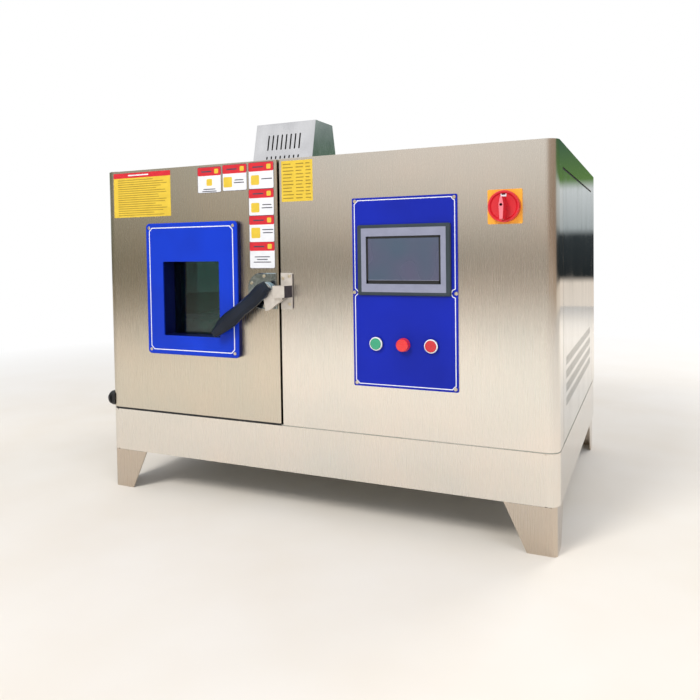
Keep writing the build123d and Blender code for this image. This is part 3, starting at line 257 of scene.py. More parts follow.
# Satin nickel on the cast keeper: pale, warm and matt, with the grain of the sand blast, which is drawn coarser
# than the real 0.2 mm, so that it shows
satinNickel = {
    "name": "satinNickel", "shader": {"Metallic": 0.5, "Specular IOR Level": 0.6},
    "patterns": {"blast": (noise, (1.1111,) * 3, {"Detail": 2.0}), "cloud": (noise, (16.667,) * 3, {"Detail": 2.0})},
    "shades": ("cloud", "#dcd6cf", "#ccc6bf"), "rough": ("blast", 0.34, 0.50), "relief": ("blast", 0.15, 0.1),
    # flank is the colour of painted shade on faces that turn to the right
    "flank": "#45414a", "flankShadeBand": (0.80, 0.92),
}


# Painted shade: faces that turn to the right, as the keeper head's right flank does, are darkened towards a dark
# grey, as that flank lies in shade
def paintFlankShade(tree, place, coat):
    low, high = satinNickel["flankShadeBand"]
    surface = addNode(tree, "ShaderNodeNewGeometry")
    facing = addNode(tree, "ShaderNodeSeparateXYZ", None, {0: surface.outputs["Normal"]})
    flank = addNode(tree, "ShaderNodeMapRange", {"From Min": low, "From Max": high}, {"Value": facing.outputs["X"]})
    return addNode(tree, "ShaderNodeMix", {"data_type": "RGBA", 7: linear(satinNickel["flank"])},
                   {0: flank.outputs[0], 6: coat}).outputs[2]


# Zinc plated screws with a yellow cast: pale straw and soft, so that they stand out on the chrome
zincPlate = {
    "name": "zincPlate", "shader": {"Metallic": 1.0},
    "patterns": {"cast": (noise, (2, 2, 2), {"Detail": 2.0})},
    "shades": ("cast", "#efe6d2", "#d9cdb4"), "rough": ("cast", 0.25, 0.42),
}

# Float glass: green in its depth, clear to look through, with a trace of dust
floatGlass = {
    "name": "floatGlass", "shader": {"IOR": 1.5, "Transmission Weight": 1.0, "Base Color": linear("#9dcfc6")},
    "patterns": {"dust": (noise, (33.333,) * 3, {"Detail": 4.0})}, "band": (0.5, 0.8), "rough": ("dust", 0.0, 0.05),
}

# Display glass with its film: slate grey-blue with a soft lilac bloom, glossy but not black
displayGlass = {
    "name": "displayGlass", "shader": {"IOR": 1.5, "Coat Weight": 0.6, "Coat Roughness": 0.12},
    "patterns": {"bloom": (noise, (83.333, 83.333, 111.11), {"Detail": 1.0})},
    "shades": ("bloom", "#45566b", "#53506c"), "rough": ("bloom", 0.22, 0.32),
}

# Rigid polyurethane foam: cream, with closed cells that show as a dull grain, drawn coarser than the real 0.3 mm
rigidFoam = {
    "name": "polyurethaneFoam", "shader": {"Roughness": 0.9}, "patterns": {"cell": (cells, (2, 2, 2), {})},
    "shades": ("cell", "#e7dcae", "#cfc08a"), "relief": ("cell", 0.4, 0.6),
}

# Copper tube and aluminium fin coil: orange-brown metal that has dulled in places
coilCopper = {
    "name": "copperCoil", "shader": {"Metallic": 1.0}, "patterns": {"stain": (noise, (16.667,) * 3, {"Detail": 3.0})},
    "shades": ("stain", "#c98a62", "#8c6a52"), "rough": ("stain", 0.25, 0.50),
}


# Printed vinyl: flat ink on a satin film, a little uneven where it lies on the brushed sheet
def makeVinyl(name, colour, shade):
    return makeFinish({
        "name": name, "shader": {"IOR": 1.46, "Roughness": 0.42},
        "patterns": {"wrinkle": (noise, (22.222, 22.222, 14.286), {"Detail": 2.0})},
        "shades": ("wrinkle", colour, shade), "relief": ("wrinkle", 0.08, 0.4),
    })


finishes = {
    "brushed": makeBrushedSteel(brushedSteel),
    "shadedDoorSteel": makeBrushedSteel(shadedDoorSteel),
    "shadedFootSteel": makeBrushedSteel(shadedFootSteel),
    "roofSteel": makeBrushedSteel(roofSteel),
    "polished": makeFinish(polishedSteel),
    "mill": makeFinish(millSteel),
    "hood": makeFinish(hoodSteel),
    "galvanised": makeFinish(galvanisedSteel),
    "bluePlate": makeFinish(blueLacquer),
    "blueFrame": makeFinish(frameLacquer, paintWallShade),
    # Painted shade: the window reveal takes the dark navy that its blue shows in shadow
    "reveal": makeMoulded("shadedRevealNavy", "#0d1a44", "#0a1436", 0.42),
    "leverPlastic": makeMoulded("glassFilledNylon", "#0d1625", "#131e30", 0.36, 0.7, 0.25, shine=0.30),
    "blackPlastic": makeMoulded("blackAbs", "#14161a", "#1a1c20", 0.45),
    "screenRim": makeMoulded("slateAbs", "#28343c", "#303d46", 0.48),
    "greyPlastic": makeMoulded("greyAbs", "#7c8186", "#8b9094", 0.5),
    "whitePlastic": makeMoulded("whiteAbs", "#e6e6e2", "#dadad6", 0.35, gloss=0.3),
    "redButton": makeMoulded("redAcrylic", "#cf1d2c", "#c01626", 0.28, gloss=0.5),
    "redLamp": makeMoulded("redLampLens", "#ef3636", "#d81f26", 0.26, gloss=0.5),
    "greenButton": makeMoulded("greenAcrylic", "#2ba57c", "#239470", 0.28, gloss=0.5),
    "knobRed": makeMoulded("redPolyamide", "#dc2130", "#cc1a28", 0.36, gloss=0.25),
    # Painted highlight: a lighter pink on the grip's front face, where it catches the light
    "knobPaintedHighlight": makeMoulded("highlightPaintedPolyamide", "#ef7f8b", "#e8707d", 0.30, gloss=0.3),
    "switchYellow": makeMoulded("yellowPolyamide", "#fdb232", "#f5a62c", 0.40, gloss=0.1),
    "rubber": makeMoulded("siliconeRubber", "#17181b", "#1f2023", 0.65, 0.9, 0.3),
    "blackPaint": makeMoulded("blackPaintedSteel", "#15171a", "#1f2226", 0.35, 1.2, 0.2, 0.2),
    "tank": makeMoulded("whitePolyethylene", "#d9dbd6", "#c9ccc6", 0.5),
    "buttonRim": makeFinish(buttonRim, paintRing),
    "chrome": makeFinish(chromePlate),
    "nickel": makeFinish(satinNickel, paintFlankShade),
    "screwSteel": makeFinish(zincPlate),
    "glass": makeFinish(floatGlass),
    "display": makeFinish(displayGlass),
    "foam": makeFinish(rigidFoam),
    "copper": makeFinish(coilCopper),
    "filterFoam": makeMoulded("reticulatedFoam", "#08090a", "#0d0e10", 0.9, 1.5, 0.4, shine=0.1),
    "whiteInk": makeVinyl("whiteInk", "#eceef6", "#dfe2ee"),
    "whiteVinyl": makeVinyl("whiteVinyl", "#e6e9ee", "#dcdfe6"),
    "redVinyl": makeVinyl("redVinyl", "#d32331", "#c51c2b"),
    "yellowVinyl": makeVinyl("yellowVinyl", "#e0c13c", "#d8b836"),
    "inkVinyl": makeVinyl("darkInk", "#3b3a4c", "#4a4858"),
    "brownInk": makeVinyl("brownInk", "#a08426", "#8f7521"),
    "overlay": makeVinyl("lilacOverlay", "#8d91a8", "#868aa0"),
}
print("finishes made:", len(finishes))

nodeFinish = {
    "roofSteel": "casing_top",
    "brushed": "base_plinth casing_left_side casing_rear front_panel casing_right_frame cabinet_hinges",
    "shadedDoorSteel": "door_skin",
    "shadedFootSteel": "foot_front_left foot_front_right foot_rear_left foot_rear_right",
    "polished": "access_panel",
    "mill": "base_deck chamber_liner door_jamb air_baffle shelf_rails wire_shelf heater_coil humidifier_pan "
            "temperature_sensors door_inner_pan",
    "hood": "motor_hood",
    "galvanised": "partition_wall blower_wheel",
    "bluePlate": "control_panel_plate",
    "blueFrame": "window_frame",
    "reveal": "window_reveal",
    "leverPlastic": "latch_lever",
    "blackPlastic": "condenser_fan switch_body cable_gland door_pivot_blocks",
    "screenRim": "touch_screen_housing",
    "greyPlastic": "electrical_modules",
    "whitePlastic": "chamber_lamp",
    "buttonRim": "button_bezels",
    "redButton": "power_button",
    "redLamp": "pilot_lamp",
    "greenButton": "light_button",
    "knobRed": "switch_knob",
    "switchYellow": "switch_plate",
    "rubber": "door_gasket",
    "blackPaint": "blower_motor compressor condenser_fan_shroud",
    "tank": "water_tank",
    "chrome": "latch_base drain_fitting",
    "screwSteel": "cabinet_screws door_screws",
    "nickel": "latch_keeper latch_cam",
    "glass": "window_panes",
    "display": "touch_screen_glass",
    "foam": "insulation_slabs door_foam",
    "copper": "evaporator_coil condenser_coil",
}
for finish, names in nodeFinish.items():
    for name in names.split():
        nodes[name].data.materials.clear()
        nodes[name].data.materials.append(finishes[finish])
print("nodes dressed:", sum(len(names.split()) for names in nodeFinish.values()))


# A thin sheet that faces the front, with its back at the centre point
def addSheet(bm, centre, size, corner=0.0, thick=0.0003, paint=0, segments=4):
    grid = bmesh.ops.create_grid(bm, x_segments=1, y_segments=1, size=0.5)
    bmesh.ops.scale(bm, vec=(size[0], size[1], 1), verts=grid["verts"])
    face = grid["verts"][0].link_faces[0]
    if corner:
        made = bmesh.ops.bevel(bm, geom=grid["verts"], offset=corner, affect="VERTICES", segments=segments,
                               profile=0.5, material=-1)
        face = max((f for v in made["verts"] for f in v.link_faces), key=lambda f: f.calc_area())
    raised = bmesh.ops.extrude_face_region(bm, geom=[face])["geom"]
    top = [v for v in raised if isinstance(v, bmesh.types.BMVert)]
    bmesh.ops.translate(bm, vec=(0, 0, thick), verts=top)
    body = list({v for raisedVert in top for edge in raisedVert.link_edges for v in edge.verts})
    for f in {f for v in body for f in v.link_faces}:
        f.material_index = paint
    bmesh.ops.rotate(bm, verts=body, cent=(0, 0, 0), matrix=Matrix.Rotation(math.radians(90), 3, "X"))
    bmesh.ops.translate(bm, vec=centre, verts=body)


def addBar(bm, low, high):
    made = bmesh.ops.create_cube(bm, size=1.0)["verts"]
    bmesh.ops.scale(bm, vec=Vector(high) - Vector(low), verts=made)
    bmesh.ops.translate(bm, vec=(Vector(high) + Vector(low)) / 2, verts=made)
    return made


def finishPiece(name, bm, looks, body):
    bmesh.ops.recalc_face_normals(bm, faces=bm.faces)
    mesh = bpy.data.meshes.new(name)
    bm.to_mesh(mesh)
    bm.free()
    for look in looks:
        mesh.materials.append(finishes[look])
    piece = bpy.data.objects.new(name, mesh)
    scene.collection.objects.link(piece)
    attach(piece, body)
    return piece


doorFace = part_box("door_skin")[0].y
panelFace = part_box("front_panel")[0].y
plateLow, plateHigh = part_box("control_panel_plate")
frameLow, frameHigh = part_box("window_frame")
screenLow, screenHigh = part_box("touch_screen_housing")
viewLow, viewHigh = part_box("touch_screen_glass")


def makeLine(name, path, face, look, body):
    bm = bmesh.new()
    outline = bm.faces.new([bm.verts.new((x, face, z)) for x, z in path])
    outline.normal_update()
    bmesh.ops.inset_individual(bm, faces=[outline], thickness=look["width"], use_even_offset=True)
    bmesh.ops.delete(bm, geom=[outline], context="FACES")
    ring = bmesh.ops.extrude_face_region(bm, geom=bm.faces[:])["geom"]
    raised = [v for v in ring if isinstance(v, bmesh.types.BMVert)]
    bmesh.ops.translate(bm, vec=(0, -look["thick"], 0), verts=raised)
    finishPiece(name, bm, ["whiteInk"], body)


# White line printed round the control plate, which steps round the six screws
panelLine = {"inset": 0.0045, "width": 0.0018, "thick": 0.00015, "cut": 0.0075, "near": 0.80, "far": 0.38,
             "notch": 0.0085, "notchRound": 0.7}


def makePanelLine(look):
    x0, x1 = plateLow.x + look["inset"], plateHigh.x - look["inset"]
    z0, z1 = plateLow.z + look["inset"], plateHigh.z - look["inset"]
    middle, cut, notch = (z0 + z1) / 2, look["cut"], look["notch"]
    near, far, slant = cut * look["near"], cut * look["far"], notch * look["notchRound"]
    path = []
    for x, z, dx, dz in ((x0, z0, 1, 1), (x1, z0, -1, 1), (x1, z1, -1, -1), (x0, z1, 1, -1)):
        corner = [(x, z + dz * cut), (x + dx * far, z + dz * near), (x + dx * near, z + dz * far), (x + dx * cut, z)]
        path += corner if dx * dz > 0 else corner[::-1]
        if (x, z) == (x1, z0):
            path += [(x1, middle - notch), (x1 - slant, middle - slant), (x1 - notch, middle),
                     (x1 - slant, middle + slant), (x1, middle + notch)]
    path += [(x0, middle + notch), (x0 + notch, middle), (x0, middle - notch)]
    makeLine("panelLine", path, plateLow.y, look, "cabinet")


# White line printed on the window frame, with its corners cut off beside the four screws
frameLine = {"inset": 0.0105, "width": 0.0022, "thick": 0.00015, "cut": 0.009}


def makeFrameLine(look):
    x0, x1 = frameLow.x + look["inset"], frameHigh.x - look["inset"]
    z0, z1 = frameLow.z + look["inset"], frameHigh.z - look["inset"]
    cut = look["cut"]
    path = [(x0 + cut, z0), (x1 - cut, z0), (x1, z0 + cut), (x1, z1 - cut), (x1 - cut, z1), (x0 + cut, z1),
            (x0, z1 - cut), (x0, z0 + cut)]
    makeLine("frameLine", path, frameLow.y, look, "door")


# Pale overlay film round the display of the touch screen
overlay = {"width": 0.1850, "height": 0.1345, "thick": 0.0004, "gap": 0.0004}


def makeOverlay(look):
    bm = bmesh.new()
    middle = (viewLow + viewHigh) / 2
    outer = bmesh.ops.create_grid(bm, x_segments=1, y_segments=1, size=0.5)
    bmesh.ops.scale(bm, vec=(look["width"], look["height"], 1), verts=outer["verts"])
    holeX, holeZ = (viewHigh.x - viewLow.x) / 2 + look["gap"], (viewHigh.z - viewLow.z) / 2 + look["gap"]
    for normal, at in (((1, 0, 0), holeX), ((1, 0, 0), -holeX), ((0, 1, 0), holeZ), ((0, 1, 0), -holeZ)):
        bmesh.ops.bisect_plane(bm, geom=bm.verts[:] + bm.edges[:] + bm.faces[:], plane_co=[c * at for c in normal],
                               plane_no=normal)
    hole = min(bm.faces, key=lambda f: f.calc_center_median().length)
    bmesh.ops.delete(bm, geom=[hole], context="FACES")
    top = bmesh.ops.extrude_face_region(bm, geom=bm.faces[:])["geom"]
    bmesh.ops.translate(bm, vec=(0, 0, look["thick"]), verts=[v for v in top if isinstance(v, bmesh.types.BMVert)])
    bmesh.ops.rotate(bm, verts=bm.verts, cent=(0, 0, 0), matrix=Matrix.Rotation(math.radians(90), 3, "X"))
    bmesh.ops.translate(bm, vec=(middle.x, screenLow.y, middle.z), verts=bm.verts)
    finishPiece("screenOverlay", bm, ["overlay"], "cabinet")


# Black mask on the display glass, wider at the foot, where a thin light line closes it
mask = {"thick": 0.0004, "left": 0.0040, "right": 0.0036, "top": 0.0042, "bottom": 0.0072, "line": 0.0008}


def makeMask(look):
    bm = bmesh.new()
    x0, x1, z0, z1 = viewLow.x, viewHigh.x, viewLow.z, viewHigh.z
    middleX, middleZ, wide, tall = (x0 + x1) / 2, (z0 + z1) / 2, x1 - x0, z1 - z0
    left, right, top, bottom, line = (look[side] for side in ("left", "right", "top", "bottom", "line"))
    for x, z, width, height, paint in (
            (middleX, z1 - top / 2, wide, top, 0), (middleX, z0 + bottom / 2, wide, bottom, 0),
            (x0 + left / 2, middleZ, left, tall, 0), (x1 - right / 2, middleZ, right, tall, 0),
            (middleX, z0 + bottom + line / 2, wide - left - right, line, 1)):
        addSheet(bm, (x, viewLow.y, z), (width, height), 0.0, look["thick"], paint)
    finishPiece("displayMask", bm, ["blackPlastic", "overlay"], "cabinet")


# Painted shade: dark strips stand in for the shadow in the gaps where sheets meet: under door and casing, over each
# foot, and in the slot over the side panel. The strips stand back from the edge of the plinth, and stop short of its
# rounded corners.
seamShade = {"stripBack": (0.0025, 0.0060), "doorBack": (0.0004, 0.0050), "plinth": 0.0022, "clear": 0.0005,
         "leftEnd": 0.018, "rightEnd": 0.022, "rearEnd": 0.004, "leftStart": 0.080,
         "out": 0.0012, "foot": 0.0018, "bend": 0.0100, "slotBack": (0.0006, 0.0001), "slot": 0.0030}


def makeSeamShade(look):
    low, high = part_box("base_plinth")
    doorLow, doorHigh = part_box("door_skin")
    (near, far), (doorNear, doorFar) = look["stripBack"], look["doorBack"]
    top, rear = high.z + look["plinth"], high.y - look["rearEnd"]
    bars = [((low.x + look["leftEnd"], low.y + near, high.z), (high.x - look["rightEnd"], low.y + far, top)),
            ((doorLow.x + look["leftEnd"], low.y + doorNear, high.z),
             (doorHigh.x, low.y + doorFar, doorLow.z - look["clear"])),
            ((high.x - far, low.y + look["rightEnd"], high.z), (high.x - near, rear, top)),
            ((low.x + near, low.y + look["leftStart"], high.z), (low.x + far, rear, top))]
    out, bend = look["out"], look["bend"]
    for foot in ("front_left", "front_right", "rear_left", "rear_right"):
        low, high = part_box("foot_" + foot)
        y = low.y - out if "front" in foot else high.y
        x = low.x - out if "left" in foot else high.x
        bars += [((low.x + bend, y, high.z - look["foot"]), (high.x - bend, y + out, high.z)),
                 ((x, low.y + bend, high.z - look["foot"]), (x + out, high.y - bend, high.z))]
    low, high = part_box("access_panel")
    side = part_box("casing_right_frame")[1].x
    inside, outside = look["slotBack"]
    bars.append(((side - inside, low.y, high.z), (side - outside, high.y, high.z + look["slot"])))
    bm = bmesh.new()
    for start, end in bars:
        addBar(bm, start, end)
    finishPiece("seamShadeStrips", bm, ["rubber"], "cabinet")


# Filter foam that leans on the inside of the slotted hood walls and keeps the inside dark
mats = {"inset": 0.050, "gap": 0.0040, "thick": 0.0030, "height": 0.150, "flange": 0.0015, "lean": 0.2324}


def makeHoodMats(look):
    bm = bmesh.new()
    low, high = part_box("motor_hood")
    foot, thick = low.z + look["flange"], look["thick"]
    for y, lean in ((low.y + look["gap"], -look["lean"]), (high.y - look["gap"] - thick, look["lean"])):
        mat = addBar(bm, (low.x + look["inset"], y, foot), (high.x - look["inset"], y + thick, foot + look["height"]))
        bmesh.ops.rotate(bm, cent=(0, y, foot), matrix=Matrix.Rotation(lean, 3, "X"), verts=mat)
    finishPiece("hoodFilterMats", bm, ["filterFoam"], "cabinet")


# Switch knob: a rimmed dial with a tapered grip whose front face has a lighter pink as a painted highlight, a thin
# dark disc as painted shade for the screw hole in the grip, and a small pointer window at its top
knob = {
    "gap": 0.0003, "rim": 0.0140, "shoulder": 0.8, "edge": 0.0012, "lip": 0.0040, "dish": 0.0100, "slope": 0.0028,
    "gripTop": 0.0185, "gripFoot": 0.0270, "crown": 0.0030, "waist": 0.0070, "waistUp": 0.0020, "toe": 0.0046,
    "sunk": 0.0020, "taper": (0.70, 0.94), "bevel": 0.0008, "hole": 0.0028, "holeUp": 0.0020, "holeThick": 0.00005,
    "shaft": 0.0050, "tail": 0.0300, "steps": 64,
    "window": {"out": 0.0004, "up": 0.0222, "size": (0.0110, 0.0070), "corner": 0.0008, "thick": 0.0012, "paint": 2},
    "pointer": {"out": 0.0016, "up": 0.0234, "size": (0.0074, 0.0028), "corner": 0.0, "thick": 0.0001, "paint": 3},
}


def makeKnob(look):
    bm = bmesh.new()
    low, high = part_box("switch_knob")
    x, z, radius = (low.x + high.x) / 2, (low.z + high.z) / 2, (high.x - low.x) / 2
    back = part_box("switch_plate")[0].y - look["gap"]
    rim, dish, edge, inner = look["rim"], look["dish"], look["edge"], radius - look["lip"]
    section = ((0.0, 0.0), (radius, 0.0), (radius, rim * look["shoulder"]), (radius - edge, rim), (inner, rim),
               (inner - look["slope"], dish + edge), (0.0, dish))
    points = [bm.verts.new((x + r, back - d, z)) for r, d in section]
    chain = [bm.edges.new(pair) for pair in zip(points, points[1:])]
    bmesh.ops.spin(bm, geom=points + chain, cent=(x, back, z), axis=(0, 1, 0), angle=math.tau, steps=look["steps"],
                   use_merge=True)
    bmesh.ops.remove_doubles(bm, verts=bm.verts, dist=0.00001)
    half = ((look["crown"], look["gripTop"]), (look["waist"], look["waistUp"]), (look["toe"], -look["gripFoot"]))
    plan = half + tuple((-dx, dz) for dx, dz in half[::-1])
    start = back - dish + look["sunk"]
    foot = bm.faces.new([bm.verts.new((x + dx, start, z + dz)) for dx, dz in plan])
    grown = bmesh.ops.extrude_face_region(bm, geom=[foot])["geom"]
    top = [v for v in grown if isinstance(v, bmesh.types.BMVert)]
    bmesh.ops.translate(bm, vec=(0, low.y - start, 0), verts=top)
    across, upright = look["taper"]
    bmesh.ops.scale(bm, vec=(across, 1, upright), verts=top, space=Matrix.Translation((-x, 0, -z)))
    crown = next(g for g in grown if isinstance(g, bmesh.types.BMFace))
    # the grip's front face takes the lighter pink of the painted highlight
    crown.material_index = 1
    bmesh.ops.bevel(bm, geom=list(crown.edges), offset=look["bevel"], affect="EDGES", segments=2, profile=0.5,
                    material=-1)
    turn = Matrix.Translation((x, back + look["tail"] / 2, z)) @ Matrix.Rotation(math.pi / 2, 4, "X")
    bmesh.ops.create_cone(bm, cap_ends=True, segments=look["steps"] // 2, radius1=look["shaft"],
                          radius2=look["shaft"], depth=look["tail"], matrix=turn)
    bmesh.ops.recalc_face_normals(bm, faces=bm.faces)
    for part in (look["window"], look["pointer"]):
        addSheet(bm, (x, back - dish - part["out"], z + part["up"]), part["size"], part["corner"], part["thick"],
                 part["paint"])
    # Painted shade: the screw hole is a thin dark disc on the grip's front, not a cut
    hole = look["hole"]
    addSheet(bm, (x, low.y, z + look["holeUp"]), (2 * hole, 2 * hole), hole * 0.98, -look["holeThick"], 3)
    looks = ["knobRed", "knobPaintedHighlight", "whiteVinyl", "rubber"]
    piece = finishPiece("switchKnob", bm, looks, "main_switch")
    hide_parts("switch_knob")


# Notices of printed vinyl: a coloured head over a white field with plain bars where words would be.
# Bars are shift, rise and length, and blocks are shift, rise and side, from the middle of the notice.
notices = {
    "noticeA": {"at": (-0.2285, 0.7703), "bars": ((0.0, -0.022, 0.034), (0.0, -0.027, 0.040)),
                "blocks": ((0.0, -0.006, 0.016),)},
    "noticeB": {"at": (-0.1577, 0.7720), "bars": ((0.012, -0.006, 0.024), (0.012, -0.012, 0.028)),
                "blocks": ((-0.019, -0.010, 0.024),)},
    "noticeC": {"at": (-0.0863, 0.7728), "bars": ((0.015, -0.008, 0.028),), "blocks": ((-0.016, -0.010, 0.022),)},
    "noticeD": {"at": (-0.0869, 0.7119), "bars": ((0.015, -0.006, 0.024), (0.015, -0.013, 0.028)),
                "blocks": ((-0.016, -0.012, 0.022),)},
    "noticeE": {"at": (-0.0868, 0.6512), "bars": ((0.016, -0.002, 0.029), (0.016, -0.009, 0.026)),
                "blocks": ((-0.016, -0.009, 0.024),)},
    "noticeF": {"at": (-0.0867, 0.5913), "bars": ((0.0, -0.004, 0.040), (0.0, -0.010, 0.028), (0.0, -0.016, 0.046)),
                "blocks": ()},
}
noticeStyle = {
    "size": (0.0672, 0.0612), "corner": 0.0040, "edge": 0.0009, "head": 0.020, "headCorner": 0.0026, "line": 0.55,
    "title": (0.42, 0.0030), "titleShift": -0.12, "titleCorner": 0.0005, "mark": 0.0110, "markShift": 0.30,
    "markCorner": 0.0022, "bar": 0.0022, "barCorner": 0.0004, "blockCorner": 0.003,
    "base": 0.0002, "film": 0.0001, "ink": 0.00006,
}


def makeNotice(name, look, style):
    x, z = look["at"]
    width, height = style["size"]
    edge, head, base, film, ink = (style[part] for part in ("edge", "head", "base", "film", "ink"))
    inner, line = width - 2 * edge, height / 2 - head * style["line"]
    titleShare, titleHigh = style["title"]
    # each layer is shift, rise, size, corner, distance from the door, thickness and paint
    layers = [(0, 0, (width, height), style["corner"], 0, base, 0),
              (0, 0, (inner, height - 2 * edge), style["corner"] - edge, base, film, 1),
              (0, height / 2 - edge - head / 2, (inner, head), style["headCorner"], base + film, film, 2),
              (width * style["titleShift"], line, (width * titleShare, titleHigh), style["titleCorner"],
               base + 2 * film, ink, 0),
              (width * style["markShift"], line, (style["mark"],) * 2, style["markCorner"], base + 2 * film, ink, 3)]
    layers += [(shift, rise, (length, style["bar"]), style["barCorner"], base + film, ink, 0)
               for shift, rise, length in look["bars"]]
    layers += [(shift, rise, (side, side), style["blockCorner"], base + film, ink, 3)
               for shift, rise, side in look["blocks"]]
    bm = bmesh.new()
    for shift, rise, size, corner, out, thick, paint in layers:
        addSheet(bm, (x + shift, doorFace - out, z + rise), size, corner, thick, paint)
    finishPiece(name, bm, ["inkVinyl", "whiteVinyl", "redVinyl", "yellowVinyl"], "door")


# Yellow sheets: ruled lines of plain bars, one with a red head, one in three columns
sheets = {
    "ruledSheet": {"x": (-0.5215, -0.3430), "z": (0.6895, 0.8005), "head": 0.0125, "rows": 17,
                   "columns": ((0.08, 0.94),), "face": doorFace, "body": "door"},
    "columnSheet": {"x": (-0.0331, 0.0453), "z": (0.7100, 0.8010), "head": 0.0, "rows": 11,
                    "columns": ((0.05, 0.40), (0.47, 0.72), (0.78, 0.95)), "face": panelFace, "body": "cabinet"},
}
sheetStyle = {"corner": 0.001, "title": (0.36, 0.003), "titleShift": -0.01, "titleCorner": 0.0004, "bar": 0.30,
              "shortest": 0.72, "sway": (2.3, 1.7), "base": 0.0002, "film": 0.0001, "ink": 0.00006}


def makeYellowSheet(name, look, style):
    bm = bmesh.new()
    (x0, x1), (z0, z1), face, head = look["x"], look["z"], look["face"], look["head"]
    width, height, middle = x1 - x0, z1 - z0, (x0 + x1) / 2
    corner, base, film, ink = (style[part] for part in ("corner", "base", "film", "ink"))
    addSheet(bm, (middle, face, (z0 + z1) / 2), (width, height), corner, base, 0, 2)
    if head:
        titleShare, titleHigh = style["title"]
        addSheet(bm, (middle, face - base, z1 - head / 2), (width, head), corner, film, 1, 2)
        addSheet(bm, (middle + style["titleShift"], face - base - film, z1 - head / 2),
                 (width * titleShare, titleHigh), style["titleCorner"], ink, 2, 2)
    pitch = (height - head) / (look["rows"] + 1)
    rowSway, columnSway = style["sway"]
    for row in range(look["rows"]):
        z = z1 - head - pitch * (row + 1)
        for column, (start, end) in enumerate(look["columns"]):
            sway = abs(math.sin(row * rowSway + column * columnSway))
            length = width * (end - start) * (style["shortest"] + (1 - style["shortest"]) * sway)
            addSheet(bm, (x0 + width * start + length / 2, face - base, z), (length, pitch * style["bar"]), 0.0, ink,
                     3)
    finishPiece(name, bm, ["yellowVinyl", "redVinyl", "whiteVinyl", "brownInk"], look["body"])


makePanelLine(panelLine)
makeFrameLine(frameLine)
makeOverlay(overlay)
makeMask(mask)
makeSeamShade(seamShade)
makeHoodMats(mats)
makeKnob(knob)
for name, look in notices.items():
    makeNotice(name, look, noticeStyle)
for name, look in sheets.items():
    makeYellowSheet(name, look, sheetStyle)
print("printed pieces made")


def addStage(name, bm, material):
    mesh = bpy.data.meshes.new(name)
    bm.to_mesh(mesh)
    bm.free()
    mesh.materials.append(material)
    piece = bpy.data.objects.new(name, mesh)
    scene.collection.objects.link(piece)
    return piece


# Pale floor that keeps the shadow near the object and fades to plain white for the camera further out
floorLook = {
    "reach": 9.0, "fade": (1.2, 3.2),
    "paint": {"name": "paleFloor", "shader": {"Roughness": 0.9, "Specular IOR Level": 0.1},
              "patterns": {"speck": (noise, (333.33,) * 3, {"Detail": 3.0})},
              "shades": ("speck", "#f3efe9", "#efe9e0")},
}


def makeFloor(look):
    material = makeFinish(look["paint"])
    tree = material.node_tree
    kinds = {node.type: node for node in tree.nodes}
    place = kinds["TEX_COORD"].outputs["Object"]
    start, end = look["fade"]
    far = addNode(tree, "ShaderNodeVectorMath", {"operation": "LENGTH"}, {0: place})
    edge = addNode(tree, "ShaderNodeMapRange", {"From Min": start, "From Max": end},
                   {"Value": far.outputs["Value"]})
    path = addNode(tree, "ShaderNodeLightPath")
    fade = addNode(tree, "ShaderNodeMath", {"operation": "MULTIPLY"},
                   {0: edge.outputs[0], 1: path.outputs["Is Camera Ray"]})
    white = addNode(tree, "ShaderNodeEmission", {"Color": (1, 1, 1, 1), "Strength": 1.0})
    both = addNode(tree, "ShaderNodeMixShader", None,
                   {0: fade.outputs[0], 1: kinds["BSDF_PRINCIPLED"].outputs[0], 2: white.outputs[0]})
    tree.links.new(both.outputs[0], kinds["OUTPUT_MATERIAL"].inputs["Surface"])
    bm = bmesh.new()
    bmesh.ops.create_circle(bm, cap_ends=True, segments=64, radius=look["reach"])
    addStage("floor", bm, material)


# A ring of plain shades, out of the camera's sight, gives the steel something to mirror. Each side is a ramp from
# the floor up, and the turns say over which stretch of an axis the shades pass into that side.
ringLook = {
    "reach": 5.5, "height": 6.0,
    "sides": {
        "left": ((0.0, "#9c907c"), (0.05, "#857d6a"), (0.10, "#7b7a68"), (0.30, "#838a7d"), (0.46, "#eceeef"),
                 (0.76, "#fbfbfc"), (0.83, "#6a6a70")),
        "right": ((0.0, "#e0d6ca"), (0.035, "#b3a798"), (0.060, "#6d6558"), (0.095, "#7d7569"), (0.13, "#d2c8bc"),
                  (0.20, "#ebe3da"), (0.30, "#f6f2ee"), (0.60, "#f6f6f8")),
        "corner": ((0.0, "#c4b09b"), (0.10, "#927e6d"), (0.25, "#ad9887"), (0.60, "#d2c5b9")),
        "back": ((0.0, "#e9dfd3"), (0.040, "#e4d9cc"), (0.050, "#23282a"), (0.118, "#31373a"), (0.130, "#a9b1b3"),
                 (0.195, "#cfd5d7"), (0.210, "#5f8248"), (0.29, "#3f5c50"), (0.40, "#cdd5d3"), (0.60, "#f4f6f8")),
    },
    "turns": (("right", "X", -4.6, -2.2), ("corner", "X", 1.6, 2.6), ("back", "Y", -0.4, 0.6)),
}


